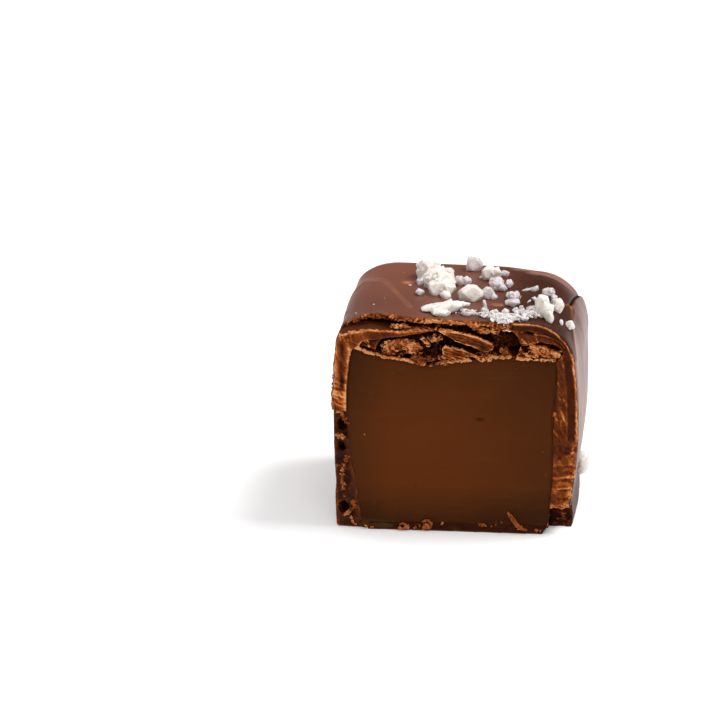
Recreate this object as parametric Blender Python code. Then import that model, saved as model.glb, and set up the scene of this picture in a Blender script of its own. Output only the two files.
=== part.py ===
# Half of a salted chocolate caramel, cut across and standing on its base.
# Metres, +Z up. The origin is the middle of the flat underside, and the cut face looks towards -Y.
# Places at the cut are given as x, z and back, where back is the distance behind the cut plane.

import math
import random

import bmesh
import bpy
import numpy as np
from mathutils import Matrix, Vector, noise

MM = 0.001


def mm(*numbers):
    """Millimetres to metres, for a place or a size."""
    return tuple(number * MM for number in numbers)


# The whole half
DEPTH = 19.2 * MM
HEIGHT = 20.9 * MM
FOOT_LEFT = 10.8 * MM          # half widths at the underside
FOOT_RIGHT = 10.45 * MM
SWELL_LEFT = 0.67 * MM         # how far the sides stand out at half height
SWELL_RIGHT = 1.35 * MM
END_HOLLOW = 0.5 * MM          # the uncut end is pressed in slightly
FOOT_FLARE = 0.3 * MM          # chocolate that spread before it set, on the right and at the end
FOOT_BOW = 0.45 * MM           # it spread furthest half way along the right side
FLARE_HEIGHT = 1.8 * MM
CUT_SKEW = math.radians(2.5)   # the knife went through slightly askew

# How far each edge's rounding reaches
ROUND_LEFT = 3.8 * MM
ROUND_RIGHT = 3.6 * MM
ROUND_END = 3.2 * MM
ROUND_TOP = 3.0 * MM
ROUND_TOP_GROWTH = 0.07        # the top's rounding grows towards the right
SKIN_CELLS = 17                # faces along each edge of the skin's starting cube

# The caramel in the middle
CORE_TOP = 17.6 * MM
CORE_DIP = 1.6 * MM            # the knife dragged its top edge down here
CORE_DIP_X = -2.8 * MM
CORE_DIP_REACH = 4.2 * MM
CORE_BOTTOM = 0.8 * MM
CORE_TOP_LEFT = -9.4 * MM
CORE_TOP_RIGHT = 8.95 * MM
CORE_FOOT_LEFT = -8.0 * MM
CORE_FOOT_RIGHT = 8.6 * MM
CORE_SWELL_LEFT = 0.45 * MM
CORE_SWELL_RIGHT = 0.15 * MM
CORE_CORNER = 0.7 * MM
SIDE_STEPS = 6
TOP_STEPS = 12
END_WALL = 2.2 * MM
GAP = 0.3 * MM                 # between the caramel and its coating

# Cutters
CLEAR = 3.0 * MM               # how far a cutter reaches past what it cuts
OUTSIDE = 14.0 * MM            # well past either side of the half
ABOVE = 25.0 * MM

# Where the outer coat has come off over a smooth ledge
LEDGE_LINE = (
    mm(-14.0, 19.4), mm(-8.0, 19.6), mm(-2.0, 20.27), mm(4.65, 20.33), mm(5.4, 25.0), mm(-14.0, 25.0),
)
LEDGE_SPAN = mm(-8.0, 4.6)
LEDGE_BACK = mm(2.2, 0.5)      # the coat's broken edge comes forward towards the right
CRACK_LINE = (mm(-9.3, 19.55), mm(-5.0, 19.9), mm(-1.0, 20.0), mm(2.2, 19.7), mm(4.2, 19.2))
CRACK_GAP = mm(0.2, 0.9)
CRACK_DEPTH = 3.2 * MM
INNER_CRACK_LINE = (mm(6.6, 19.0), mm(7.8, 19.15), mm(8.9, 18.7), mm(9.5, 17.9))
INNER_CRACK_GAP = mm(0.2, 0.35)
INNER_CRACK_DEPTH = 1.6 * MM

# Hollows between the ledge and the caramel: x, z, width, depth and height
LEFT_HOLLOW = mm(-5.3, 17.9, 6.2, 4.2, 1.7)
MIDDLE_HOLLOW = mm(0.6, 18.4, 7.4, 5.0, 2.9)
DEEP_HOLLOW = mm(3.9, 19.0, 4.6, 7.0, 2.8)
RIGHT_HOLLOW = mm(7.6, 17.9, 2.8, 3.2, 1.1)

# The lower left side, broken away from the cut, and the two pockets in it
CHIPPED_TOP_Z = 11.9 * MM
CHIPPED_BACK = 1.8 * MM
CHIPPED_FULL_Z = 4.0 * MM      # below here the break comes forward to the foot
CHIPPED_FOOT_BACK = 0.4 * MM
CHIPPED_INNER_BACK = 0.3 * MM
CHIPPED_SLOPE_WIDTH = 2.4 * MM
POCKET_X = -10.35 * MM
UPPER_POCKET = mm(7.6, 1.0)    # height above the base, and size
LOWER_POCKET = mm(1.65, 1.25)
POCKET_DEPTH = 2.4 * MM

# The foot of the right side, broken out too
RECESS_TOP_Z = 2.7 * MM
RECESS_BACK = 2.1 * MM

# A broken face's roughness
ROUGH_CELL = 1.1 * MM
ROUGHNESS = 0.56 * MM
ROUGH_GRAIN = 2.2 * MM

# The seam that has opened between the right side and the top, from front to rear in X and Y
SEAM_ENDS = (mm(9.95, -3.2), mm(10.6, 1.1))
SEAM_RADIUS = 0.5 * MM

# Slabs and flakes that stand in the break
SPLINTER_LINE = (mm(-3.2, 19.9), mm(-1.6, 20.1), mm(0.4, 19.75), mm(2.2, 19.2), mm(3.6, 18.65))
SPLINTER_THICKNESS = mm(0.7, 1.05)
SPLINTER_SPAN = mm(0.06, 2.6)
UNDER_SLAB_LINE = (mm(-1.8, 18.2), mm(0.2, 17.75), mm(2.1, 17.3))
UNDER_SLAB_THICKNESS = mm(1.0, 0.7)
UNDER_SLAB_SPAN = mm(0.15, 3.0)
LEFT_FLAKES = {"count": 6, "start": mm(-8.0, 17.75), "stop": mm(-2.6, 17.2)}
RIGHT_FLAKES = {"count": 4, "start": mm(4.6, 17.8), "stop": mm(8.7, 17.8)}
FLAKE_BACK = 1.6 * MM
EDGE_CRUMBS = {"count": 9, "start": -9.2 * MM, "stop": 4.2 * MM, "below_top": 0.5 * MM, "droop": 0.04}
SIDE_BANDS = {"count": 5, "start": mm(10.0, 3.4), "stop": mm(10.36, 8.8), "back": 0.35 * MM}
FLAKE_SEED = 5

# Salt. The coarse crystals are listed with their place, their width and how far they stand up.
COARSE_SALT = (
    mm(-3.9, 2.3, 2.2, 1.6), mm(-2.6, 1.3, 2.4, 2.2), mm(-3.6, 0.6, 1.7, 2.4), mm(-2.4, -0.2, 1.6, 1.5),
    mm(-2.5, -5.3, 2.2, 1.4), mm(-1.3, -5.1, 2.0, 1.3), mm(0.3, 5.9, 1.5, 1.6), mm(2.2, 3.6, 1.8, 1.8),
    mm(0.5, -1.4, 2.0, 1.9), mm(2.4, -0.7, 1.5, 1.5), mm(-0.6, 2.1, 1.4, 1.1), mm(3.1, 1.6, 1.5, 1.1),
    mm(8.3, -5.0, 1.7, 1.8), mm(9.0, -3.2, 1.3, 1.3), mm(7.7, 0.0, 1.7, 1.1), mm(5.0, -2.2, 1.3, 1.2),
    mm(6.0, -5.2, 1.6, 1.2), mm(7.1, -4.9, 1.5, 1.2),
)
FINE_SALT = {"count": 14, "left": -5.0 * MM, "right": 10.0 * MM, "front": -7.6 * MM, "rear": 5.0 * MM}
FINE_SIZE = mm(0.7, 1.1)
FINE_CLEARANCE = 1.3 * MM
SIDE_CRYSTAL_PLACE = mm(11.6, 1.0, 3.5)
SIDE_CRYSTAL_SIZE = mm(1.8, 1.3, 1.5)
SALT_SUNK = 0.3                # share of a crystal's height that is in the chocolate
EXTRA_POINTS = 4               # on a crystal, besides its corners
SALT_SEED = 7

MERGE = 0.0005 * MM


def cut_y(x):
    """Where the cut plane lies, at this distance across."""
    return -DEPTH / 2 + math.tan(CUT_SKEW) * x


def behind_cut(x, z, back):
    return Vector((x, cut_y(x) + back, z))


def between(ends, share):
    """The value or place this share of the way from the first to the second."""
    first, second = ends
    if isinstance(first, tuple):
        return tuple(a + (b - a) * share for a, b in zip(first, second))
    return first + (second - first) * share


def new_collection(name):
    collection = bpy.data.collections.new(name)
    bpy.context.scene.collection.children.link(collection)
    return collection


def add_object(name, bm, collection):
    bmesh.ops.recalc_face_normals(bm, faces=bm.faces)
    bmesh.ops.triangulate(bm, faces=bm.faces)
    mesh = bpy.data.meshes.new(name)
    bm.to_mesh(mesh)
    bm.free()
    piece = bpy.data.objects.new(name, mesh)
    collection.objects.link(piece)
    return piece


def give_material(piece, name, colour, roughness):
    finish = bpy.data.materials.new(name)
    finish.use_nodes = True
    shader = finish.node_tree.nodes["Principled BSDF"]
    shader.inputs["Base Color"].default_value = (*colour, 1.0)
    shader.inputs["Roughness"].default_value = roughness
    shader.inputs["Metallic"].default_value = 0.0
    piece.data.materials.clear()
    piece.data.materials.append(finish)


# ---- Shapes that the rest is made of ----

def prism(name, outline, span, collection):
    """An outline in X and Z, filled, from one distance behind the cut to another that may follow x."""
    bm = bmesh.new()
    rings = []
    for back in span:
        distances = [back(x) if callable(back) else back for x, z in outline]
        rings.append([bm.verts.new(behind_cut(x, z, far)) for (x, z), far in zip(outline, distances)])
    near, away = rings
    bm.faces.new(near)
    bm.faces.new(reversed(away))
    for i in range(len(outline)):
        j = (i + 1) % len(outline)
        bm.faces.new((near[j], near[i], away[i], away[j]))
    return add_object(name, bm, collection)


def bent_slab(name, line, thickness, span, collection):
    """A slab whose middle line is drawn in X and Z, with a thickness at each end."""
    upper = []
    lower = []
    last = len(line) - 1
    for i, (x, z) in enumerate(line):
        before = line[max(i - 1, 0)]
        after = line[min(i + 1, last)]
        along = Vector((after[0] - before[0], after[1] - before[1])).normalized()
        half = between(thickness, i / last) / 2
        upper.append((x - along.y * half, z + along.x * half))
        lower.append((x + along.y * half, z - along.x * half))
    return prism(name, upper + lower[::-1], span, collection)


def lump(name, centre, size, seed, collection, detail=2):
    """A rough rounded lump, used both as a piece and as a hollow."""
    bm = bmesh.new()
    bmesh.ops.create_icosphere(bm, subdivisions=detail, radius=0.5)
    shift = Vector((seed * 3.7, seed * 1.3, 0.0))
    for vertex in bm.verts:
        swell = 1.0 + 0.35 * noise.noise(vertex.co * 3.0 + shift)
        vertex.co = Vector(centre) + Vector(size) * swell * vertex.co
    return add_object(name, bm, collection)


def hollow(name, measures, seed, collection, detail=2):
    x, z, width, depth, height = measures
    return lump(name, behind_cut(x, z, 0.0), (width, depth, height), seed, collection, detail)


def chip(name, centre, size, tilt, draw, collection):
    """A splintered flake: a small slab whose corners aren't square."""
    bm = bmesh.new()
    bmesh.ops.create_cube(bm, size=1.0)
    for vertex in bm.verts:
        corner = Vector([c * s * draw.uniform(0.7, 1.25) for c, s in zip(vertex.co, size)])
        vertex.co = Matrix.Rotation(tilt, 3, "Y") @ corner + Vector(centre)
    return add_object(name, bm, collection)


def rim_of(grid):
    """The points round a grid's edge, in order."""
    right = [row[-1] for row in grid[1:-1]]
    left = [row[0] for row in grid[1:-1]]
    return grid[0] + right + grid[-1][::-1] + left[::-1]


def hewn_block(name, x_span, z_span, back_at, seed, collection):
    """A block from in front of the cut to a rough, broken face behind it."""
    columns = round((x_span[1] - x_span[0]) / ROUGH_CELL)
    rows = round((z_span[1] - z_span[0]) / ROUGH_CELL)
    bm = bmesh.new()
    front = []
    broken = []
    for row in range(rows + 1):
        z = between(z_span, row / rows)
        front.append([])
        broken.append([])
        for column in range(columns + 1):
            x = between(x_span, column / columns)
            rough = ROUGHNESS * noise.noise(Vector((x, seed * MM, z)) / ROUGH_GRAIN)
            front[row].append(bm.verts.new(behind_cut(x, z, -CLEAR)))
            broken[row].append(bm.verts.new(behind_cut(x, z, back_at(x, z) + rough)))
    for grid in (front, broken):
        for lower, upper in zip(grid, grid[1:]):
            for i in range(columns):
                bm.faces.new((lower[i], lower[i + 1], upper[i + 1], upper[i]))
    near, away = rim_of(front), rim_of(broken)
    for i in range(len(near)):
        j = (i + 1) % len(near)
        bm.faces.new((near[i], near[j], away[j], away[i]))
    return add_object(name, bm, collection)


def crystal(name, centre, size, draw, collection):
    """A broken salt crystal: the hull of a block's eight uneven corners and a few points between."""
    places = []
    for corner in range(8):
        signs = [1.0 if corner & bit else -1.0 for bit in (1, 2, 4)]
        places.append([sign * draw.uniform(0.55, 0.95) for sign in signs])
    for _ in range(EXTRA_POINTS):
        place = [draw.uniform(-0.7, 0.7) for _ in range(3)]
        place[draw.randrange(3)] = draw.choice((-1.0, 1.0))
        places.append(place)
    turn = Matrix.Rotation(draw.uniform(0.0, math.pi), 3, "Z")
    turn = turn @ Matrix.Rotation(draw.uniform(-0.4, 0.4), 3, "X")
    bm = bmesh.new()
    for place in places:
        turned = turn @ Vector(place)
        bm.verts.new([c * s / 2 + middle for c, s, middle in zip(turned, size, centre)])
    bmesh.ops.convex_hull(bm, input=bm.verts)
    inside = [vertex for vertex in bm.verts if not vertex.link_faces]
    bmesh.ops.delete(bm, geom=inside, context="VERTS")
    return add_object(name, bm, collection)


# ---- The coating's outside ----

def skin_excess(points):
    """Below 0 inside the skin, 0 on it and above 0 outside. Every side is rounded into the next."""
    x, y, z = points.T
    swell = np.sin(math.pi * np.clip(z / HEIGHT, 0.0, 1.0))
    spread = np.exp(-(np.maximum(z, 0.0) / FLARE_HEIGHT) ** 2)
    from_middle = np.clip((2 * y / DEPTH) ** 2, 0.0, 1.0)
    left = FOOT_LEFT + SWELL_LEFT * swell
    right = FOOT_RIGHT + SWELL_RIGHT * swell * (1.0 - from_middle / 4)
    right = right + (FOOT_FLARE + FOOT_BOW * (1.0 - from_middle)) * spread
    pressed_in = END_HOLLOW * swell * np.clip(1.0 - (x / FOOT_LEFT) ** 2, 0.0, 1.0)
    end = DEPTH / 2 - pressed_in + FOOT_FLARE * spread
    reaches = [
        1.0 + (-x - left) / ROUND_LEFT,
        1.0 + (x - right) / ROUND_RIGHT,
        1.0 + (y - end) / ROUND_END,
        1.0 + (z - HEIGHT) / (ROUND_TOP + ROUND_TOP_GROWTH * x),
    ]
    rounded = np.sqrt(sum(np.maximum(0.0, reach) ** 2 for reach in reaches)) - 1.0
    past_cut = (-y - DEPTH / 2) / CLEAR - 1.0
    return np.maximum(rounded, past_cut)


def make_skin(collection):
    """Each point of a gridded cube goes out until it meets the skin, along its own ray. The rays
    of the lower half are level, so that the underside stays flat and keeps its round corners."""
    bm = bmesh.new()
    bmesh.ops.create_cube(bm, size=2.0)
    bmesh.ops.subdivide_edges(bm, edges=bm.edges, cuts=SKIN_CELLS - 1, use_grid_fill=True)
    grid = np.array([vertex.co for vertex in bm.verts])
    upper = grid[:, 2] > 0.0
    ring = np.where(upper, 1.0, np.abs(grid[:, :2]).max(axis=1))
    start = np.zeros_like(grid)
    start[:, 2] = HEIGHT / 2 * (1.0 + np.minimum(grid[:, 2], 0.0))
    rays = grid * (FOOT_RIGHT + SWELL_RIGHT, DEPTH / 2 + CLEAR, HEIGHT / 2)
    rays[:, :2] /= np.maximum(ring, 1e-6)[:, None]
    rays[:, 2] = np.where(upper, rays[:, 2], 0.0)
    near = np.zeros(len(rays))
    far = np.full(len(rays), 1.5)
    for _ in range(36):
        half = (near + far) / 2
        outside = skin_excess(start + rays * half[:, None]) > 0.0
        far = np.where(outside, half, far)
        near = np.where(outside, near, half)
    for vertex, place in zip(bm.verts, start + rays * (near * ring)[:, None]):
        vertex.co = place
    return add_object("coating", bm, collection)


def skin_height(x, y):
    """The height of the top over this place."""
    low, high = HEIGHT / 2, HEIGHT + MM
    for _ in range(30):
        half = (low + high) / 2
        if skin_excess(np.array([(x, y, half)]))[0] > 0.0:
            high = half
        else:
            low = half
    return low


# ---- The caramel ----

def core_outline(grow):
    """The caramel's outline at the cut, grown by this much all round."""
    top_ends = (CORE_TOP_LEFT - grow, CORE_TOP_RIGHT + grow)
    foot_ends = (CORE_FOOT_LEFT - grow, CORE_FOOT_RIGHT + grow)
    z_span = (CORE_BOTTOM - grow, CORE_TOP + grow - CORE_CORNER)
    left_side = []
    right_side = []
    for step in range(SIDE_STEPS + 1):
        up = step / SIDE_STEPS
        bow = math.sin(math.pi * up)
        z = between(z_span, up)
        left_side.append((between((foot_ends[0], top_ends[0]), up) - CORE_SWELL_LEFT * bow, z))
        right_side.append((between((foot_ends[1], top_ends[1]), up) + CORE_SWELL_RIGHT * bow, z))
    top = []
    for step in range(TOP_STEPS + 1):
        x = between((top_ends[1] - CORE_CORNER, top_ends[0] + CORE_CORNER), step / TOP_STEPS)
        dip = CORE_DIP * math.exp(-((x - CORE_DIP_X) / CORE_DIP_REACH) ** 2)
        top.append((x, CORE_TOP + grow - dip))
    return right_side + top + left_side[::-1]


# ---- What is broken out of the coating at the cut ----

def ledge_back(x):
    """How far the outer coat's broken edge is set back."""
    left, right = LEDGE_SPAN
    return between(LEDGE_BACK, (x - left) / (right - left))


def chipped_back(x, z):
    """How far the lower left side's broken face is set back: least at the foot and by the caramel."""
    outer = between((CHIPPED_FOOT_BACK, CHIPPED_BACK), min(z / CHIPPED_FULL_Z, 1.0))
    share = min(max((x + FOOT_LEFT) / CHIPPED_SLOPE_WIDTH, 0.0), 1.0)
    return between((outer, CHIPPED_INNER_BACK), share)


def recess_back(x, z):
    return RECESS_BACK


def make_breaks(collection):
    knife = ((-OUTSIDE, -CLEAR), (OUTSIDE, -CLEAR), (OUTSIDE, ABOVE), (-OUTSIDE, ABOVE))
    prism("knife", knife, (-CLEAR * 3, 0.0), collection)

    prism("ledge", LEDGE_LINE, (-CLEAR, ledge_back), collection)
    bent_slab("crack", CRACK_LINE, CRACK_GAP, (-CLEAR, CRACK_DEPTH), collection)
    bent_slab("inner_crack", INNER_CRACK_LINE, INNER_CRACK_GAP, (-CLEAR, INNER_CRACK_DEPTH), collection)

    hollow("left_hollow", LEFT_HOLLOW, 1, collection)
    hollow("middle_hollow", MIDDLE_HOLLOW, 2, collection)
    hollow("deep_hollow", DEEP_HOLLOW, 3, collection, detail=3)
    hollow("right_hollow", RIGHT_HOLLOW, 4, collection)

    chipped_x = (-OUTSIDE, CORE_FOOT_LEFT)
    hewn_block("chipped_side", chipped_x, (-CLEAR, CHIPPED_TOP_Z), chipped_back, 5, collection)
    for seed, (z, size) in enumerate((UPPER_POCKET, LOWER_POCKET)):
        place = behind_cut(POCKET_X, z, CHIPPED_BACK * 0.6)
        lump("pocket", place, (size * 0.85, POCKET_DEPTH, size), 6 + seed, collection)
    recess_x = (CORE_FOOT_RIGHT, OUTSIDE)
    hewn_block("recess", recess_x, (-CLEAR, RECESS_TOP_Z), recess_back, 8, collection)

    front, rear = [Vector((x, y, skin_height(x, y))) for x, y in SEAM_ENDS]
    along = rear - front
    place = Matrix.Translation((front + rear) / 2) @ along.to_track_quat("Z", "Y").to_matrix().to_4x4()
    bm = bmesh.new()
    bmesh.ops.create_cone(bm, segments=3, radius1=SEAM_RADIUS, radius2=SEAM_RADIUS, depth=along.length,
                          cap_ends=True, matrix=place)
    add_object("seam", bm, collection)


# ---- Flakes, splinters and lumps that stand in the break ----

def make_flakes(collection):
    bent_slab("splinter", SPLINTER_LINE, SPLINTER_THICKNESS, SPLINTER_SPAN, collection)
    bent_slab("under_slab", UNDER_SLAB_LINE, UNDER_SLAB_THICKNESS, UNDER_SLAB_SPAN, collection)

    draw = random.Random(FLAKE_SEED)
    for row in (LEFT_FLAKES, RIGHT_FLAKES):
        for i in range(row["count"]):
            x, z = between((row["start"], row["stop"]), i / (row["count"] - 1))
            size = mm(draw.uniform(0.7, 1.5), draw.uniform(2.4, 3.4), draw.uniform(0.35, 0.8))
            place = behind_cut(x, z + draw.uniform(-0.25, 0.2) * MM, FLAKE_BACK)
            chip("flake", place, size, draw.uniform(-0.7, 0.7), draw, collection)

    # Crumbled chocolate along the outer coat's broken edge
    for i in range(EDGE_CRUMBS["count"]):
        x = between((EDGE_CRUMBS["start"], EDGE_CRUMBS["stop"]), i / (EDGE_CRUMBS["count"] - 1))
        size = mm(draw.uniform(0.8, 1.5), draw.uniform(0.5, 0.9), draw.uniform(0.4, 0.6))
        z = HEIGHT - EDGE_CRUMBS["below_top"] - EDGE_CRUMBS["droop"] * abs(x)
        chip("edge_crumb", behind_cut(x, z, ledge_back(x)), size, draw.uniform(-0.3, 0.3), draw, collection)

    # Bands of pushed-up chocolate on the lower right side
    for i in range(SIDE_BANDS["count"]):
        x, z = between((SIDE_BANDS["start"], SIDE_BANDS["stop"]), i / (SIDE_BANDS["count"] - 1))
        size = mm(draw.uniform(1.5, 2.0), draw.uniform(1.0, 1.4), draw.uniform(0.8, 1.2))
        lump("side_band", behind_cut(x, z, SIDE_BANDS["back"]), size, 20 + i, collection)


# ---- Salt ----

def fine_salt_places(draw):
    """Seeded places over the salted part of the top, clear of the coarse crystals and each other."""
    taken = [(x, y) for x, y, across, tall in COARSE_SALT]
    places = []
    while len(places) < FINE_SALT["count"]:
        x = draw.uniform(FINE_SALT["left"], FINE_SALT["right"])
        y = draw.uniform(FINE_SALT["front"], FINE_SALT["rear"])
        if min(math.hypot(x - a, y - b) for a, b in taken) > FINE_CLEARANCE:
            taken.append((x, y))
            places.append((x, y))
    return places


def make_salt(collection):
    draw = random.Random(SALT_SEED)
    grains = list(COARSE_SALT)
    for x, y in fine_salt_places(draw):
        across = draw.uniform(*FINE_SIZE)
        grains.append((x, y, across, across * draw.uniform(0.6, 0.95)))
    for x, y, across, tall in grains:
        size = (across, across * draw.uniform(0.75, 1.0), tall * (1.0 + SALT_SUNK))
        place = (x, y, skin_height(x, y) + tall * (1.0 - SALT_SUNK) / 2)
        crystal("crystal", place, size, draw, collection)
    crystal("side_crystal", SIDE_CRYSTAL_PLACE, SIDE_CRYSTAL_SIZE, draw, collection)


# ---- Putting it together ----

def combine(piece, collection, operation):
    """Cut by, or join with, everything in the collection, whose objects are then removed."""
    modifier = piece.modifiers.new(operation.title(), "BOOLEAN")
    modifier.operation = operation
    modifier.operand_type = "COLLECTION"
    modifier.collection = collection
    modifier.solver = "EXACT"
    bpy.context.view_layer.update()
    evaluated = piece.evaluated_get(bpy.context.evaluated_depsgraph_get())
    result = bpy.data.meshes.new_from_object(evaluated)
    piece.modifiers.clear()
    piece.data = result
    for item in list(collection.objects):
        bpy.data.objects.remove(item)
    bpy.data.collections.remove(collection)
    keep_one_body(piece)


def keep_one_body(piece):
    """Merge points that all but touch, and take out what a cut left loose."""
    bm = bmesh.new()
    bm.from_mesh(piece.data)
    bmesh.ops.triangulate(bm, faces=bm.faces)
    bmesh.ops.remove_doubles(bm, verts=bm.verts, dist=MERGE)
    waiting = set(bm.verts)
    bodies = []
    while waiting:
        body = [waiting.pop()]
        for vertex in body:
            for edge in vertex.link_edges:
                other = edge.other_vert(vertex)
                if other in waiting:
                    waiting.remove(other)
                    body.append(other)
        bodies.append(body)
    bodies.sort(key=len)
    for body in bodies[:-1]:
        bmesh.ops.delete(bm, geom=body, context="VERTS")
    bm.to_mesh(piece.data)
    bm.free()


def main():
    for item in list(bpy.data.objects):
        bpy.data.objects.remove(item)
    whole = new_collection("Chocolate caramel half")

    coating = make_skin(whole)
    breaks = new_collection("Breaks")
    make_breaks(breaks)
    combine(coating, breaks, "DIFFERENCE")
    flakes = new_collection("Flakes")
    make_flakes(flakes)
    combine(coating, flakes, "UNION")
    inside = new_collection("Inside")
    prism("caramel_space", core_outline(GAP), (-CLEAR, DEPTH - END_WALL + GAP), inside)
    combine(coating, inside, "DIFFERENCE")
    salt = new_collection("Salt")
    make_salt(salt)
    combine(coating, salt, "UNION")
    give_material(coating, "milk chocolate", (0.16, 0.062, 0.034), 0.38)

    caramel = prism("caramel", core_outline(0.0), (0.0, DEPTH - END_WALL), whole)
    give_material(caramel, "soft caramel", (0.095, 0.024, 0.005), 0.32)


main()
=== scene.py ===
import math
import random

import bpy
import numpy as np
from mathutils import Euler, Matrix, Vector


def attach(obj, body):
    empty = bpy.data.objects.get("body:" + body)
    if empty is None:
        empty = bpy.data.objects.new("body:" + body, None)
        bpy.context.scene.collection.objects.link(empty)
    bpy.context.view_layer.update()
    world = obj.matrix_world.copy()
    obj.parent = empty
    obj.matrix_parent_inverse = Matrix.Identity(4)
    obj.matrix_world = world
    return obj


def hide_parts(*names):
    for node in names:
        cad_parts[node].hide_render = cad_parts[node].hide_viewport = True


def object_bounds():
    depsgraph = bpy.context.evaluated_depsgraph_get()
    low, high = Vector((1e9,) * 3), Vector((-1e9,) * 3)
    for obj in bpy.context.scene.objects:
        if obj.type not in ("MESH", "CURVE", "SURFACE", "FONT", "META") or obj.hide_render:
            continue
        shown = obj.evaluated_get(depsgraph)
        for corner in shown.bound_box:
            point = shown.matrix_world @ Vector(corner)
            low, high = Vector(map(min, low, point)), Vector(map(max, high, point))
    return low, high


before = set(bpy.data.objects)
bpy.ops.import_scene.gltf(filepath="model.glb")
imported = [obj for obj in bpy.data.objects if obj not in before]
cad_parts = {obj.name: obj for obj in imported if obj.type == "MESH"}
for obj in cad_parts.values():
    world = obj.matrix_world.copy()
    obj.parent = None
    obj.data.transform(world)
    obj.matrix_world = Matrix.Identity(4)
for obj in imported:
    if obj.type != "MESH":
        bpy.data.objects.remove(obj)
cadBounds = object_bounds()

# Everything is modelled in millimetres and brought to metres when it is finished.
# Places at the cut are x, z and back, where back is the distance behind the cut plane.
metresPerMillimetre = 0.001

skin = {   # the coating's outside
    "depth": 19.2, "height": 20.9, "footLeft": 10.8, "footRight": 10.45,
    "swellLeft": 0.67, "swellRight": 1.35, "endHollow": 0.5, "cutSkew": math.radians(2.5),
    "footFlare": 0.3, "footBow": 0.45, "flareHeight": 1.8, "endWall": 2.2,
    "roundLeft": 3.8, "roundRight": 3.6, "roundEnd": 3.2, "roundTop": 3.0, "roundTopGrowth": 0.07,
}
clear = 3.0   # how far a cutter reaches past what it cuts
farBack = 100   # where a slab's rear goes until it is put in its place
halvings = {"height": 30, "block": 36}   # steps of each search by halves
manyShapes = 100   # a copy's number, below this, picks its shape
sightAcross = 0.123   # how far the line of sight runs to the left for each millimetre back
sightDown = 0.367   # how far it runs down


def cutY(x):
    return -skin["depth"] / 2 + math.tan(skin["cutSkew"]) * x


def pick(piece):
    bpy.ops.object.select_all(action="DESELECT")
    piece.select_set(True)
    bpy.context.view_layer.objects.active = piece


def added(name):
    piece = bpy.context.object
    piece.name = name
    bpy.ops.object.transform_apply(location=True, rotation=True, scale=True)
    return piece


def edited(*steps):
    # Runs each step on the whole of the active piece
    bpy.ops.object.mode_set(mode="EDIT")
    for step, settings in steps:
        bpy.ops.mesh.select_all(action="SELECT")
        step(**settings)
    bpy.ops.object.mode_set(mode="OBJECT")


toTriangles = (bpy.ops.mesh.quads_convert_to_tris, {})
facingOut = (bpy.ops.mesh.normals_make_consistent, {"inside": False})


def cube(name, size, *steps):
    bpy.ops.mesh.primitive_cube_add(size=size)
    piece = added(name)
    edited(*steps)
    return piece


def readPoints(piece, what="co"):
    flat = np.empty(len(piece.data.vertices) * 3, np.float32)
    piece.data.vertices.foreach_get(what, flat)
    return flat.reshape(-1, 3).astype(float)


def writePoints(piece, places):
    piece.data.vertices.foreach_set("co", np.asarray(places, np.float32).ravel())
    piece.data.update()


def applied(piece, kind, **settings):
    pick(piece)
    modifier = piece.modifiers.new(kind.title(), kind)
    for setting, value in settings.items():
        setattr(modifier, setting, value)
    bpy.ops.object.modifier_apply(modifier=modifier.name)
    return piece


def remeshed(piece, voxel):
    return applied(piece, "REMESH", mode="VOXEL", voxel_size=voxel)


def thinned(piece, mostFaces, **settings):
    # With no more triangles than this
    ratio = min(1.0, mostFaces / (2 * len(piece.data.polygons)))
    return applied(piece, "DECIMATE", ratio=ratio, **settings)


def joined(name, pieces):
    bpy.ops.object.select_all(action="DESELECT")
    for piece in pieces:
        piece.select_set(True)
    bpy.context.view_layer.objects.active = pieces[0]
    if len(pieces) > 1:
        bpy.ops.object.join()
    pieces[0].name = name
    return pieces[0]


def combined(piece, others, operation):
    # Cuts by, or joins with, the other pieces, which are then removed
    group = bpy.data.collections.new(operation)
    for other in others:
        group.objects.link(other)
    applied(piece, "BOOLEAN", operation=operation, operand_type="COLLECTION", collection=group,
            solver="MANIFOLD")
    for other in others:
        bpy.data.objects.remove(other)
    bpy.data.collections.remove(group)
    return piece


def storeOnPoints(piece, **layers):
    for name, values in layers.items():
        layer = piece.data.attributes.new(name, "FLOAT", "POINT")
        layer.data.foreach_set("value", np.clip(values, 0, 1).astype(np.float32))


def smoothStep(values, low, high):
    share = np.clip((values - low) / (high - low), 0, 1)
    return share * share * (3 - 2 * share)


def within(values, low, high, edge):
    return smoothStep(values, low - edge, low + edge) * (1 - smoothStep(values, high - edge, high + edge))


def grain(places, size, seed):
    # Smooth noise from -1 to 1, whose lumps are of this size, which may differ by axis
    place = np.asarray(places) / size + seed * 17.31
    cell = np.floor(place).astype(np.int64)
    part = place - cell
    part = part * part * (3 - 2 * part)
    total = np.zeros(len(place))
    for corner in range(8):
        step = np.array([corner & 1, corner >> 1 & 1, corner >> 2 & 1])
        hashed = (cell + step) @ np.array([73856093, 19349663, 83492791])
        hashed = ((hashed ^ (hashed >> 13)) * 1274126177) & 0x7fffffff
        value = ((hashed ^ (hashed >> 15)) & 4095) / 2047.5 - 1
        total += value * np.prod(np.where(step == 1, part, 1 - part), axis=1)
    return total


def crumble(places, size, seed):
    # Three sizes of grain on top of each other: each one's share, and how much finer it is
    layers = [(1, 1), (0.55, 2.1), (0.3, 4.3)]
    return sum(share * grain(places, np.asarray(size) / finer, seed + i)
               for i, (share, finer) in enumerate(layers)) / 1.4


def ridges(places, size, seed):
    # Like crumble, with sharp crests and round valleys
    layers = [(1, 1), (0.5, 2.2), (0.28, 4.6)]
    return sum(share * (0.5 - 2 * np.abs(grain(places, np.asarray(size) / finer, seed + i)))
               for i, (share, finer) in enumerate(layers)) / 1.3


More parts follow.
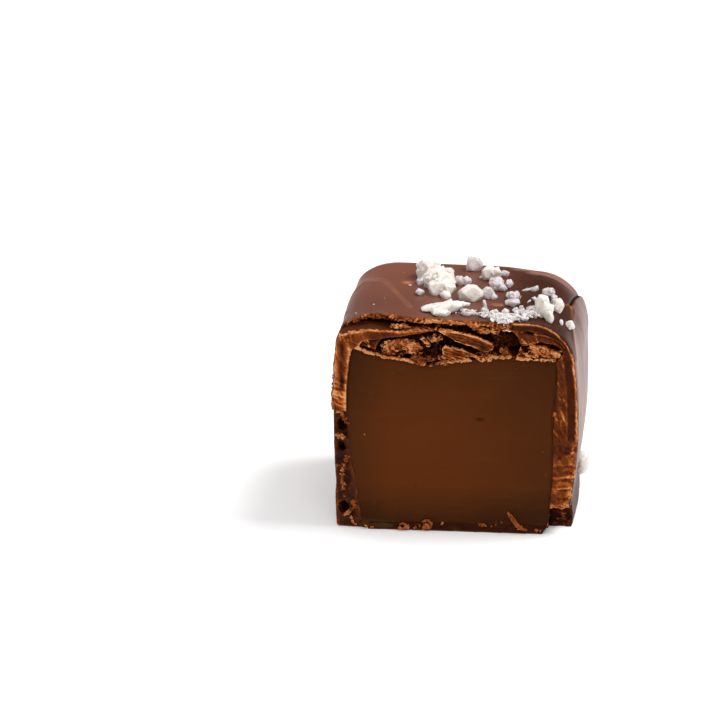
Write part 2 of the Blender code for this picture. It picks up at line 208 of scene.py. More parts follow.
def turned(places, angle, squeeze):
    # Places turned about Y and squeezed along the new X, for streaks along the new Z
    x, y, z = places.T
    across, along = x * math.cos(angle) + z * math.sin(angle), z * math.cos(angle) - x * math.sin(angle)
    return np.stack([across, y * 0.25, along * squeeze], axis=1)


def awayFromLine(x, z, line):
    # How far each place is from a line of points
    places = np.stack([x, z], axis=1)
    best = np.full(len(places), 1e9)
    for start, stop in zip(line, line[1:]):
        start, along = np.array(start), np.subtract(stop, start)
        share = np.clip((places - start) @ along / (along @ along), 0, 1)
        best = np.minimum(best, np.linalg.norm(places - start - share[:, None] * along, axis=1))
    return best


def hump(values, middle, width):
    return np.exp(-((values - middle) / width) ** 2)


def mixed(base, other, share):
    return base * (1 - share) + other * share


def standsOut(piece, rounds, full):
    # From -1 to 1, how far each point stands out from the surface round it
    edges = np.empty(len(piece.data.edges) * 2, np.int32)
    piece.data.edges.foreach_get("vertices", edges)
    ends = edges.reshape(-1, 2)
    places = readPoints(piece)
    count = np.maximum(np.bincount(ends.ravel(), minlength=len(places)), 1)
    smooth = places.copy()
    for _ in range(rounds):
        total = np.empty_like(smooth)
        for axis in range(3):
            total[:, axis] = (np.bincount(ends[:, 0], smooth[ends[:, 1], axis], len(places))
                              + np.bincount(ends[:, 1], smooth[ends[:, 0], axis], len(places)))
        smooth = (smooth + total / count[:, None]) / 2
    return np.clip(np.sum((places - smooth) * readPoints(piece, "normal"), axis=1) / full, -1, 1)


def settle(piece, finish, smooth=True):
    # The finished piece, in metres, with its finish, on the one body. It stays inside the part's box.
    low, high = [np.array(corner) / metresPerMillimetre for corner in cadBounds]
    writePoints(piece, np.clip(readPoints(piece), low, high))
    piece.data.transform(Matrix.Scale(metresPerMillimetre, 4))
    piece.data.materials.clear()
    piece.data.materials.append(finish)
    pick(piece)
    if smooth:
        bpy.ops.object.shade_smooth()
    else:
        bpy.ops.object.shade_flat()
    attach(piece, "root")
    print(piece.name, len(piece.data.polygons), "faces")
    return piece


def skinExcess(places):
    # Below 0 inside the skin, 0 on it and above 0 outside
    x, y, z = places.T
    swell = np.sin(math.pi * np.clip(z / skin["height"], 0, 1))
    spread = np.exp(-(np.maximum(z, 0) / skin["flareHeight"]) ** 2)
    fromMiddle = np.clip((2 * y / skin["depth"]) ** 2, 0, 1)
    left = skin["footLeft"] + skin["swellLeft"] * swell
    right = skin["footRight"] + skin["swellRight"] * swell * (1 - fromMiddle / 4)
    right = right + (skin["footFlare"] + skin["footBow"] * (1 - fromMiddle)) * spread
    pressedIn = skin["endHollow"] * swell * np.clip(1 - (x / skin["footLeft"]) ** 2, 0, 1)
    end = skin["depth"] / 2 - pressedIn + skin["footFlare"] * spread
    reaches = [
        1 + (-x - left) / skin["roundLeft"],
        1 + (x - right) / skin["roundRight"],
        1 + (y - end) / skin["roundEnd"],
        1 + (z - skin["height"]) / (skin["roundTop"] + skin["roundTopGrowth"] * x),
    ]
    rounded = np.sqrt(sum(np.maximum(0, reach) ** 2 for reach in reaches)) - 1
    pastCut = (-y - skin["depth"] / 2) / clear - 1
    return np.maximum(rounded, pastCut)


def fromSkin(places):
    # Each place's distance outside the skin, and which way is out
    step = 0.01
    excess = skinExcess(places)
    slope = np.stack([(skinExcess(places + axis * step) - excess) / step for axis in np.eye(3)], axis=1)
    steep = np.linalg.norm(slope, axis=1) + 1e-6
    return excess / steep, slope / steep[:, None]


def keptInside(places, pastCut, pastSkin):
    # Places that stand out no further than this past the cut plane and past the skin
    places[:, 1] = np.maximum(places[:, 1], cutY(places[:, 0]) - pastCut)
    over, way = fromSkin(places)
    return places - way * np.maximum(over - pastSkin, 0)[:, None]


def skinHeight(x, y):
    low, high = skin["height"] / 2, skin["height"] + 1
    for _ in range(halvings["height"]):
        half = (low + high) / 2
        if skinExcess(np.array([(x, y, half)]))[0] > 0:
            high = half
        else:
            low = half
    return low


def makeBlock(cuts):
    # Each point of a gridded cube goes out to the skin along its own ray. The rays of the lower
    # half are level, so that the underside stays flat.
    block = cube("coating_shell", 2, (bpy.ops.mesh.subdivide, {"number_cuts": cuts}))
    grid = readPoints(block)
    upper = grid[:, 2] > 0
    ring = np.where(upper, 1, np.abs(grid[:, :2]).max(axis=1))
    start = np.zeros_like(grid)
    start[:, 2] = skin["height"] / 2 * (1 + np.minimum(grid[:, 2], 0))
    rays = grid * (skin["footRight"] + skin["swellRight"], skin["depth"] / 2 + clear, skin["height"] / 2)
    rays[:, :2] /= np.maximum(ring, 1e-6)[:, None]
    rays[:, 2] = np.where(upper, rays[:, 2], 0)
    near, far = np.zeros(len(rays)), np.full(len(rays), 1.5)
    for _ in range(halvings["block"]):
        half = (near + far) / 2
        outside = skinExcess(start + rays * half[:, None]) > 0
        far = np.where(outside, half, far)
        near = np.where(outside, near, half)
    writePoints(block, start + rays * (near * ring)[:, None])
    return block


def seenAt(x, z, back):
    # A place drawn on the cut plane, moved back along the line of sight
    return Vector((x - sightAcross * back, cutY(x) + back, z - sightDown * back))


def slab(name, outline, front, rear):
    # An outline in X and Z, pushed back from one distance behind the cut to another, which may vary with x
    bpy.ops.mesh.primitive_circle_add(vertices=len(outline), radius=1, fill_type="NGON")
    piece = added(name)
    writePoints(piece, [(x, cutY(x) + front, z) for x, z in outline])
    edited((bpy.ops.mesh.extrude_region_move, {"TRANSFORM_OT_translate": {"value": (0, farBack, 0)}}))
    places = readPoints(piece)
    for place in places:
        if place[1] > farBack / 2:
            place[1] = cutY(place[0]) + (rear(place[0]) if callable(rear) else rear)
    writePoints(piece, places)
    edited(toTriangles, facingOut)
    return piece


def alongLine(line, share):
    # The place this share of the way along a line of points
    spans = [math.dist(start, stop) for start, stop in zip(line, line[1:])]
    left = share * sum(spans)
    for start, stop, span in zip(line, line[1:], spans):
        if left <= span:
            return tuple(a + (b - a) * left / span for a, b in zip(start, stop))
        left -= span
    return line[-1]


def bentOutline(line, widths):
    # Both sides of a line, with the widths spread evenly along it
    upper, lower = [], []
    for i, (x, z) in enumerate(line):
        before, after = line[max(i - 1, 0)], line[min(i + 1, len(line) - 1)]
        along = Vector((after[0] - before[0], after[1] - before[1])).normalized()
        half = np.interp(i / (len(line) - 1), np.linspace(0, 1, len(widths)), widths) / 2
        upper.append((x - along.y * half, z + along.x * half))
        lower.append((x + along.y * half, z - along.x * half))
    return upper + lower[::-1]


def lump(name, centre, size, seed, rough):
    # A rough ball, stretched to this size
    bpy.ops.mesh.primitive_ico_sphere_add(subdivisions=5, radius=0.5)
    piece = added(name)
    places = readPoints(piece) * np.array(size)
    field = crumble(places, 0.45 * min(size), seed)
    writePoints(piece, np.array(centre) + places * (1 + rough * field)[:, None])
    return piece


def takenApart(piece):
    # A piece's points and faces, to make copies of. The piece itself is removed.
    shape = (readPoints(piece), [tuple(face.vertices) for face in piece.data.polygons])
    bpy.data.objects.remove(piece)
    return shape


def placed(place, turn, shape):
    # The matrix that gives a copy its size, turn and place
    return Matrix.Translation(place) @ Euler(turn).to_matrix().to_4x4() @ Matrix.Diagonal((*shape, 1))


def tumbled(place, shape, draw):
    # The number and the matrix of one copy of a shape, turned at random
    turn = [draw.uniform(0, 6) for _ in range(3)]
    return draw.randrange(manyShapes), placed(place, turn, shape)


def shardShapes(kinds, seed):
    # Small splintered shapes, each modelled once: a cube whose points are pushed about
    gridded = (bpy.ops.mesh.subdivide, {"number_cuts": 2, "smoothness": 0.5})
    shapes = []
    for kind in range(kinds):
        pushed = (bpy.ops.transform.vertex_random, {"offset": 0.14, "seed": seed + kind})
        shapes.append(takenApart(cube("shard", 1, gridded, pushed, toTriangles)))
    return shapes


def scattered(name, shapes, places):
    # Copies of the shapes joined in one mesh. Each place is a shape's number and its matrix.
    points, faces, count = [], [], 0
    for number, matrix in places:
        shapePoints, shapeFaces = shapes[number % len(shapes)]
        turn = np.array(matrix)
        points.append(shapePoints @ turn[:3, :3].T + turn[:3, 3])
        faces.extend(tuple(corner + count for corner in face) for face in shapeFaces)
        count += len(shapePoints)
    mesh = bpy.data.meshes.new(name)
    mesh.from_pydata(np.concatenate(points).tolist(), [], faces)
    piece = bpy.data.objects.new(name, mesh)
    bpy.context.scene.collection.objects.link(piece)
    return piece


def shardRow(row, draw):
    # Shards along a line at the cut, spread to its sides and backwards
    places = []
    for _ in range(row["count"]):
        x, z = alongLine(row["line"], draw.random())
        x += draw.gauss(0, row["spread"])
        z += draw.gauss(0, row["spread"])
        back = draw.uniform(*row["back"])
        size = draw.uniform(*row["size"])
        shape = (size * draw.uniform(0.9, 1.9), size * draw.uniform(0.6, 1.3),
                 size * draw.uniform(*row.get("flat", (0.35, 0.7))))
        lean = (draw.gauss(0, 0.5), draw.gauss(row.get("lean", 0), row.get("tumble", 0.5)),
                draw.gauss(0, 0.8))
        places.append((draw.randrange(manyShapes), placed(seenAt(x, z, back), lean, shape)))
    return places


coating = {
    "cuts": 60, "breakCuts": 30, "voxel": 0.1, "mostFaces": 188000,
    # the line of the ledge that the outer coat came off, and how far back the coat's edge is
    "ledge": [(-14, 19.2), (-10.9, 19.25), (-9.5, 19.6), (-8, 19.88), (-6.8, 19.78), (-6.1, 19.9),
              (-5.3, 19.68), (-3.4, 19.98), (-1.9, 20.15), (4.6, 20.3), (5.4, 25), (-14, 25)],
    "ledgeBack": [(-8, 2.05), (-5.3, 1.75), (-4.2, 1.1), (-2.8, 0.75), (-0.3, 0.62), (0.9, 0.35), (2.2, 0.2)],
    # cracks: middle line at the cut, widths along it, and depth
    "cracks": {
        "crack": ([(-8.6, 20.05), (-7.8, 20.15), (-5.3, 20.0), (-2.8, 20.2), (-0.35, 20.1), (0.9, 20.0),
                   (2.2, 19.85), (3.8, 19.6)], (0.2, 0.4, 0.6, 0.36, 0.68, 1.0, 1.3, 1.3), 4.2),
        "rim_crack": ([(6.0, 19.98), (6.7, 19.98), (7.5, 19.8)], (0.16, 0.28, 0.14), 0.5),
        "gap": ([(-9.3, 18.2), (-8.4, 17.98), (-7.6, 17.68), (-6.6, 17.42), (-5.4, 17.28), (-4.4, 17.05)],
                (0.1, 0.28, 0.3, 0.34), 1.3),
    },
    # what the knife broke open over the caramel: outline at the cut, and depth
    "mouths": {
        "left_hollow": ([(-9.0, 18.05), (-8.6, 18.65), (-7.9, 18.85), (-7.24, 18.92), (-6.3, 19.1),
                         (-5.9, 17.2), (-8.0, 17.55)], 0.5),
        "left_mouth": ([(-7.3, 18.2), (-6.9, 18.85), (-6.3, 19.12), (-4.95, 19.3), (-3.42, 19.6),
                        (-2.4, 19.85), (-1.4, 19.95), (-1.0, 16.4), (-5.0, 16.8), (-7.4, 17.4)], 1.9),
        "middle_mouth": ([(-2.6, 19.3), (-1.4, 19.85), (1.0, 20.1), (3.6, 19.6), (3.8, 17.0), (-2.6, 16.5)],
                         3.6),
        "deep_mouth": ([(2.9, 20.3), (3.6, 20.05), (4.5, 20.2), (5.3, 20.0), (5.75, 19.5), (5.95, 18.9),
                        (6.1, 17.1), (2.6, 17.1)], 3.4),
        "right_mouth": ([(5.9, 18.85), (6.6, 19.0), (7.3, 18.9), (7.88, 19.12), (8.36, 18.95), (9.07, 18.9),
                         (9.56, 18.62), (9.93, 18.05), (9.85, 17.9), (9.55, 17.5), (9.25, 17.05),
                         (5.9, 17.05)], 1.5),
    },
    # pockets in the left side: x, z and back, size, seed, roughness
    "pockets": {
        "upper_hollow": ((-10.45, 10.4, 1.4), (1.2, 2.0, 1.3), 3, 0.6),
        "upper_pocket": ((-10.41, 8.14, 1.6), (0.85, 2.6, 1.15), 4, 0.6),
        "lower_pocket": ((-10.06, 2.02, 1.0), (0.95, 2.6, 1.45), 5, 0.55),
    },
    "rimLine": [(6.0, 19.98), (6.7, 19.98), (7.5, 19.8), (8.3, 19.72), (8.9, 19.5), (9.6, 19.15),
                (10.05, 18.6)],
    "seam": [(10.55, 7.4), (10.47, 5.9), (10.29, 4.0), (10.12, 2.0), (9.98, 0.1)],
    "sideEdge": [(9.98, 0.1), (10.17, -0.6), (10.3, -2.1), (10.54, -4.4), (10.86, -6.5), (11.25, -9.0)],
    # a raised edge of skin at the seam's end
    "lip": [(9.3, -1.25), (9.6, -0.85), (9.85, -0.4), (10.1, -0.45)],
    "fold": [(-10.91, -3.9), (-11.0, 1.1), (-9.85, 3.0), (-7.7, 1.2), (-6.04, -2.7), (-4.6, -6.0)],
    "dimples": [(-5.6, 0.9, 0.5, 0.4), (3.55, -4.2, 0.65, 0.5), (6.83, 1.3, 0.12, 0.2)],
    # lumps that stand out at the lower right: x, z, width, height
    "bands": [(10.1, 3.3, 2.1, 0.9), (10.1, 4.15, 2.0, 0.9), (10.2, 5.1, 2.1, 1.0), (10.3, 6.3, 2.1, 1.5),
              (10.4, 7.5, 2.0, 1.5)],
}


def ledgeBack(x):
    return float(np.interp(x, *zip(*coating["ledgeBack"])))


def pastSeam(x, y, edge):
    # 1 beyond the line where the top's skin ends and the right side's begins
    line = (coating["seam"] + coating["sideEdge"][1:])[::-1]
    border = np.interp(y, [place[1] for place in line], [place[0] for place in line])
    return smoothStep(x - border, -edge, edge)


def onSide(places):
    # 1 on the right side's skin, beyond the seam or below the top's rounding
    x, y, z = places.T
    below = smoothStep(x, 9.5, 10.5) * (1 - smoothStep(z, 15.5, 18.5))
    return np.maximum(pastSeam(x, y, 0.12), below)


def onLowLeft(x, z, top):
    # 1 on the broken lower left side
    return within(x, -12, -8.3, 0.1) * within(z, -1, top, 0.1)


def chippedBack(x, z):
    # How far the broken lower left side is set back
    outer = 0.4 + 1.4 * np.clip(z / 4, 0, 1)
    share = np.clip((x + skin["footLeft"]) / 2.4, 0, 1)
    return outer + (0.3 - outer) * share


def makeHewnBlock(name, xSpan, zSpan, backAt, rough, seed):
    # A gridded box whose rear follows a rough broken face
    piece = cube(name, 2, (bpy.ops.mesh.subdivide, {"number_cuts": coating["breakCuts"]}))
    u, v, w = (readPoints(piece) / 2 + 0.5).T
    x = xSpan[0] + (xSpan[1] - xSpan[0]) * u
    z = zSpan[0] + (zSpan[1] - zSpan[0]) * w
    rear = cutY(x) + backAt(x, z) + rough * crumble(np.stack([x, x * 0, z], axis=1), 1.6, seed)
    front = cutY(x) - clear
    y = front + (rear - front) * v
    z = z + rough * (w > 0.99) * crumble(np.stack([x, y, x * 0], axis=1), 0.9, seed + 1)
    writePoints(piece, np.stack([x, y, z], axis=1))
    return piece


def breakCoating(block):
    outside = 14
    crack, *smallCracks = [slab(name, bentOutline(line, widths), -clear, depth)
                           for name, (line, widths, depth) in coating["cracks"].items()]
    mouths = [slab(name, outline, -clear, depth) for name, (outline, depth) in coating["mouths"].items()]
    pockets = [lump(name, seenAt(*place), size, seed, rough)
               for name, (place, size, seed, rough) in coating["pockets"].items()]
    breaks = [
        slab("knife", [(-outside, -3), (outside, -3), (outside, 25), (-outside, 25)], -9, 0),
        slab("ledge", coating["ledge"], -clear, ledgeBack),
        crack, *mouths, *smallCracks,
        makeHewnBlock("chipped_side", (-outside, -8.0), (-clear, 11.9), chippedBack, 0.35, 5),
        makeHewnBlock("recess", (8.85, outside), (-clear, 2.7), lambda x, z: 2.1 + 0 * x, 0.4, 8),
        *pockets,
    ]
    combined(block, breaks, "DIFFERENCE")
    bands = [lump("band", (x, cutY(x) + 0.25, z), (wide, 0.9, tall), 20 + i, 0.22)
             for i, (x, z, wide, tall) in enumerate(coating["bands"])]
    return combined(block, bands, "UNION")


def reliefOfCoating(piece):
    places = readPoints(piece)
    normals = readPoints(piece, "normal")
    out, way = fromSkin(places)
    x, y, z = places.T
    back, depth = y - cutY(x), -out
    under = z < 0.06
    onSkin = (np.abs(out) < 0.09) & (np.sum(normals * way, axis=1) > 0.5) | under
    high = z > 17

    # The skin lies true, with the waves that a poured coating has
    wave = 0.07 * grain(places, 5.0, 3) + 0.025 * grain(places, 1.9, 4)
    ripples = 0.025 * grain(places, np.array([9.0, 1.1, 9.0]), 6) * smoothStep(x, 9.5, 10.8)
    ridge = 0.09 * hump(awayFromLine(x, y, coating["fold"]), 0, 0.3) * high
    # Beyond the seam the right side's skin stands a little proud
    beyond = pastSeam(x, y, 0.12)
    panel = 0.24 * beyond * smoothStep(y, -5, 1) * within(z, 15.5, 21, 1.2)
    seam = -0.2 * hump(awayFromLine(x, y, coating["seam"]), 0, 0.11)
    seam += 0.12 * hump(awayFromLine(x, y, coating["lip"]), 0, 0.15)
    seam += 0.07 * hump(awayFromLine(x, y, coating["sideEdge"]), 0, 0.16)
    seam *= high
    dimple = np.zeros(len(x))
    for left, front, across, deep in coating["dimples"]:
        dimple -= 0.1 * hump(x, left, across) * hump(y, front, deep) * high
    skinMove = (wave + ripples) * smoothStep(back, 0.0, 0.8) + ridge + seam + dimple + panel
    bulge = 0.2 * within(z, -1, 3.5, 1.0) * (x < -9)
    # The edge that the knife left is ragged
    ragged = 0.1 + 0.14 * (x < -9) + 0.3 * (x > 9) * within(z, 3.0, 9.5, 0.5)
    ragged = ragged * np.maximum(0, crumble(places, 0.55, 15)) * (z > 1)
    ragged = ragged * (1 - smoothStep(back, 0.05, 0.45)) * (1 - smoothStep(depth, 0.15, 0.6))
    skinMove = np.where(under, 0, skinMove + bulge - ragged)
    skinPlaces = places - way * np.where(under, 0, out)[:, None] + way * skinMove[:, None]
    skinPlaces[:, 2] = np.where(under, 0, skinPlaces[:, 2])

    # What is broken is rough: least where the knife went through cleanly
    front = back < 0.35
    cleanRight = within(x, 8.9, 12, 0.15) * within(z, 9.0, 17.6, 0.8) * front
    cleanLeft = within(x, -12, -9.4, 0.2) * within(z, 12.0, 19, 0.2) * front * 0.75
    layer = within(x, -9.6, -1.4, 0.3) * (z > 18.6) * front
    rim = within(x, 5.4, 11.5, 0.2) * (z > 17.6) * front
    ledgeTop = (normals[:, 2] > 0.75) * within(x, -10.8, -4.5, 0.6) * (z > 19) * (back > 0.1)
    hollow = within(x, -9, -6.9, 0.1) * (z > 17.4) * (back < 0.7)
    lowLeft = onLowLeft(x, z, 11.7) * 0.85
    foot = (z < 0.9) * front * (np.abs(x) < 9)
    recess = within(x, 8.9, 12, 0.1) * (z < 2.8) * 0.7
    lower = within(x, 9, 12, 0.1) * within(z, 2.6, 9.3, 0.6) * front
    clean = cleanRight + cleanLeft + layer + rim + ledgeTop + hollow + lowLeft + foot + recess + lower
    clean = np.clip(clean, 0, 1)
    rough = 0.12 * ridges(places, 0.6, 11) + 0.06 * crumble(places, 0.22, 12)
    bandWave = 0.14 * crumble(places, (1.6, 1.6, 0.8), 13) * lower
    smoothly = 0.022 * crumble(places, 0.5, 14)
    move = (smoothly * clean + rough * (1 - clean) + bandWave) * smoothStep(z, 0.05, 0.4)
    brokenPlaces = places + normals * move[:, None] + way * (bulge - ragged)[:, None]
    # The cut plane stays where the knife went, and nothing stands out past the skin
    brokenPlaces = keptInside(brokenPlaces, 0.06 + 0.12 * lower, bulge - 0.02)
    finished = np.where(onSkin[:, None], skinPlaces, brokenPlaces)
    # Along the seam the skin is marked as broken, so that its crack is painted dark: painted shade in the
    # crack
    inSeam = high * (1 - smoothStep(awayFromLine(x, y, coating["seam"]), 0.03, 0.13))
    # The top falls away towards the back right corner, and the foot's right end is rounded
    finished[:, 2] -= 0.32 * smoothStep(x, 3, 8) * smoothStep(y, 2, 7) * smoothStep(z, 12, 20)
    footEnd = smoothStep(x, 7.6, 8.85) * (x < 9.2) * (back < 1.5) * (1 - smoothStep(z, 0.0, 0.8))
    finished[:, 0] -= 0.45 * footEnd
    writePoints(piece, finished)
    return np.where(onSkin, inSeam, 1.0)


def inHollows(places):
    # How dark the painted shade in the two open hollows may get: reddish in the middle one, and speckled with
    # painted glints in the right one
    x, y, z = places.T
    deep = within(x, 3.2, 6.0, 0.3) * within(z, 17.3, 20.2, 0.3) * (y - cutY(x) > 0.7)
    middle = hump(x, -2.3, 1.0) * within(z, 16.8, 19.0, 0.3)
    return 0.2 * middle + deep * (0.3 + 0.3 * (crumble(places, 0.2, 38) > 0.45))


def skinToneAndPaintedLight(places):
    # How pale the skin is: a painted sheen makes it palest at the back left, painted shade makes it darkest
    # at the right, and it varies a little at random
    x, y, _ = places.T
    pale = 0.66 + 0.42 * (1 - smoothStep(x, -10, -1)) * smoothStep(y, -5, 5)
    return pale - 0.64 * smoothStep(x, 0.0, 7.0) + 0.08 * grain(places, 2.5, 45)


def toneOfCoating(piece, cut):
    # How light the broken chocolate is, from 0 in the depths to 1 on crumbled edges. Its darkness in depths
    # and creases is painted shade, and some light on crests is a painted highlight
    places = readPoints(piece)
    normals = readPoints(piece, "normal")
    out, _ = fromSkin(places)
    x, y, z = places.T
    back, depth = y - cutY(x), -out
    front = back < 0.45
    mottle = crumble(places, 0.5, 33)
    streaks = crumble(turned(places, 0.35, 0.16), 0.16, 31)
    feather = crumble(turned(places, 0.42, 0.2), 0.15, 32)

    tone = 0.42 + 0.16 * mottle
    # At the right, by the distance below the skin: a light edge, a dark even stripe, then feathery
    arch = within(x, 5.2, 13, 0.15) * smoothStep(z, 8.0, 9.4) * front
    narrow = 1 - 0.22 * smoothStep(z, 17.5, 19.5)
    stripe = within(depth / narrow, 0.3, 0.98, 0.07)
    threads = np.maximum(0, feather - 0.25) * 0.7
    archTone = mixed(0.37 + 0.2 * feather + threads, 0.23 + 0.05 * mottle, stripe)
    archTone = archTone + 0.5 * (1 - smoothStep(depth, 0.1, 0.36)) + 0.16 * hump(depth / narrow, 1.08, 0.08)
    tone = mixed(tone, archTone, arch)
    low = within(x, 8.9, 13, 0.1) * within(z, 2.7, 9.4, 0.5) * front
    level = z + 0.22 * crumble(np.stack([x, x * 0, z], axis=1), 1.1, 34)
    brightLines = sum(hump(level, height, 0.11) for height in (5.75, 4.6, 3.05))
    bandTone = 0.5 + 0.26 * crumble(np.stack([x, y * 0.3, z], axis=1), (1.5, 1, 0.8), 36) + 0.32 * brightLines
    bandTone = bandTone + 0.14 * feather - 0.1 * hump(level, 8.6, 0.6) - 0.2 * hump(level, 3.75, 0.35)
    bandTone = bandTone + 0.3 * (1 - smoothStep(depth, 0.3, 0.8)) * (0.6 + 0.6 * mottle)
    tone = mixed(tone, bandTone, low)
    # The left wall: sheared, light and streaky, darker along its middle
    leftWall = within(x, -12, -9.2, 0.15) * within(z, 11.8, 19.4, 0.2) * front
    comb = 0.5 * crumble(turned(places, 1.2, 0.2), 0.17, 35) * (1 - smoothStep(z, 14.0, 15.8))
    leftTone = 0.74 + 0.28 * streaks + comb - 0.46 * hump(x, -10.45, 0.32) * within(z, 13.8, 18.6, 0.8)
    leftTone = leftTone - 0.16 * smoothStep(z, 17.6, 18.8) * smoothStep(x, -11.0, -10.4)
    leftTone = leftTone + 0.22 * hump(awayFromLine(x, z, caramel["left"]), 0.1, 0.12)
    tone = mixed(tone, leftTone, leftWall)
    # The layer over the crumbled part is dark and even, with a lighter left end
    layer = within(x, -9.4, -1.4, 0.2) * within(z, 18.7, 19.9, 0.12) * front
    layerTone = 0.38 + 0.12 * streaks - 0.08 * within(x, -7.4, -5.6, 0.4)
    layerTone = layerTone + 0.16 * (1 - smoothStep(x, -8.6, -7.4))
    tone = mixed(tone, layerTone, layer)
    # A painted highlight along the ledge's crest
    crest = hump(awayFromLine(x, z, coating["ledge"][1:9]), 0, 0.13) * front
    tone = tone + 0.5 * crest * (0.75 + 0.4 * mottle + 0.8 * (x < -8.4))
    hollow = within(x, -9, -6.9, 0.1) * (z > 17.4) * (z < 18.95) * within(back, 0.2, 0.8, 0.1)
    tone = mixed(tone, 0.3 + 0.12 * mottle, hollow)
    lowLeft = onLowLeft(x, z, 11.8)
    toward = hump(awayFromLine(x, z, caramel["left"]), 0.0, 0.45)
    lowLeftTone = 0.23 + 0.1 * mottle + (0.2 + 0.55 * np.maximum(0, streaks)) * toward * (z < 7.5)
    tone = mixed(tone, lowLeftTone, lowLeft)
    foot = within(x, -8.8, 9.0, 0.2) * (z < 0.85)
    tone = mixed(tone, 0.17 + 0.1 * mottle, foot)
    # In the recess the light specks are painted glints
    recess = within(x, 8.9, 12, 0.1) * (z < 2.75) * (back > 0.4)
    speckled = 0.5 * smoothStep(crumble(places, (0.5, 0.3, 0.2), 37), 0.3, 0.6)
    tone = mixed(tone, 0.5 + 0.2 * mottle + speckled, recess)

    # Painted light and shade: lighter where it stands out, darker where it sinks in, less so on the even
    # faces
    rough = 1 - 0.6 * np.clip(leftWall + arch + layer + foot + lowLeft + recess + low, 0, 1)
    tone = tone + (0.26 * standsOut(piece, 2, 0.012) + 0.3 * standsOut(piece, 24, 0.13)) * rough
    edge = hump(depth, 0.0, 0.09) * (normals[:, 1] < -0.3)
    tone = tone + 0.3 * edge * (0.6 + 0.5 * mottle)
    # The coat's broken edge over the ledge is crumbly, and lighter to the right, with an orange lip
    coatEdge = within(x, -10.6, 4.6, 0.3) * (z > 20.12) * (back > 0.1) * (depth < 0.9)
    tone = tone + (0.24 * smoothStep(x, -7.5, -4.5) - 0.14 + 0.2 * mottle) * coatEdge
    lip = coatEdge * (1 - smoothStep(depth, 0.1, 0.2))
    tone = mixed(tone, 0.66 + 0.12 * mottle, lip)
    # Painted shade: darker the further it lies behind the cut
    tone = tone - 0.4 * smoothStep(back, 0.8, 2.4) * (z < 20.1) * (x > -9)
    tone = np.maximum(tone, inHollows(places))
    ledgeTop = (normals[:, 2] > 0.7) * (z > 18.9) * within(x, -11, -4.4, 0.5) * (back > 0.12) * (depth > 0.2)
    tone = mixed(tone, 0.3, ledgeTop)
    # A thin light line between the rim's dark stripe and the slab below it, with a painted shadow just under
    # it
    rimGap = awayFromLine(x, z, coating["rimLine"])
    tone = tone + (0.34 * hump(rimGap, 0, 0.06) - 0.25 * hump(rimGap, 0.14, 0.06)) * front
    # The seam's crack on the skin is painted dark: painted shade
    return np.where(cut < 1, mixed(skinToneAndPaintedLight(places), 0.04, cut), tone)


def glossOfCoating(piece, cut):
    # The skin shines less at its edges, and some of the break looks wet
    places = readPoints(piece)
    x, y, z = places.T
    beyond = onSide(places)
    skinGloss = 0.95 - 0.85 * (1 - smoothStep(x, -10.4, -7.8)) - 0.95 * smoothStep(x, -1.0, 6.0)
    skinGloss = mixed(skinGloss, 0.5 * (0.1 + 0.9 * smoothStep(z, 2.5, 9.0)), beyond)
    lowLeft = onLowLeft(x, z, 11.8)
    ledgeTop = (z > 18.9) * within(x, -11, -4.4, 0.5) * (y - cutY(x) > 0.12)
    return np.where(cut < 0.5, skinGloss, 0.16 * lowLeft + 0.12 * ledgeTop)


def paintedSheenOfCoating(piece):
    # A painted sheen: the right side's skin is painted paler, in soft upright streaks, and darker towards its
    # foot; a painted highlight also lies in patches along the top's back edge at the right
    places = readPoints(piece)
    x, y, z = places.T
    streaks = crumble(places, (3.0, 1.1, 7.0), 44)
    side = onSide(places) * (0.6 + 0.5 * streaks) * smoothStep(z, 1.5, 8.5)
    side = side * (1 - 0.5 * smoothStep(z, 16.5, 20)) * (1 - smoothStep(y, 5.5, 8.5))
    band = smoothStep(crumble(places, (2.6, 1.4, 2.6), 46), -0.4, -0.15) * smoothStep(x, 2.5, 4)
    band = band * smoothStep(z, 18.0, 19.8)
    band = band * smoothStep(y - 0.25 * (4.5 - x), 5.9, 6.4) * (1 - pastSeam(x, y, 0.12))
    return side + band


def rubOfCoating(piece):
    # Where the skin is rubbed or thin, and shows orange-brown
    x, y, z = readPoints(piece).T
    rub = 0.35 * hump(awayFromLine(x, y, coating["fold"]), 0.12, 0.1)
    for left, front, across, deep in coating["dimples"]:
        rub += 1.3 * np.exp(-(((x - left) / across) ** 2 + ((y - front) / deep) ** 2) ** 2)
    rub += 0.6 * hump(awayFromLine(x, y, coating["lip"]), 0.05, 0.12)
    rub += 0.55 * hump(awayFromLine(x, y, coating["seam"]), 0.3, 0.12) * pastSeam(x, y, 0.1)
    rub += 0.35 * hump(awayFromLine(x, y, coating["sideEdge"]), 0, 0.16)
    return rub * (z > 16.5) * (0.7 + 0.5 * grain(np.stack([x, y, z], axis=1), 0.8, 41))


def makeCoating():
    block = breakCoating(makeBlock(coating["cuts"]))
    remeshed(block, coating["voxel"])
    cut = reliefOfCoating(block)
    storeOnPoints(block, cut=cut, tone=toneOfCoating(block, cut), rub=rubOfCoating(block),
                  gloss=glossOfCoating(block, cut), bloom=paintedSheenOfCoating(block))
    # Fewer faces where nothing small shows: on the smooth skin
    x, y, z = readPoints(block).T
    border = np.minimum(awayFromLine(x, y, coating["seam"] + coating["sideEdge"]),
                        awayFromLine(x, y, coating["lip"]))
    detailed = (cut > 0.5) | (y - cutY(x) < 0.6) | (z > 16.5) & (border < 0.5)
    block.vertex_groups.new(name="thin").add(np.flatnonzero(~detailed).tolist(), 1.0, "REPLACE")
    thinned(block, coating["mostFaces"], vertex_group="thin")
    block.vertex_groups.clear()
    space = slab("space", caramelOutline(-0.02), -clear, skin["depth"] - skin["endWall"])
    return combined(block, [space], "DIFFERENCE")


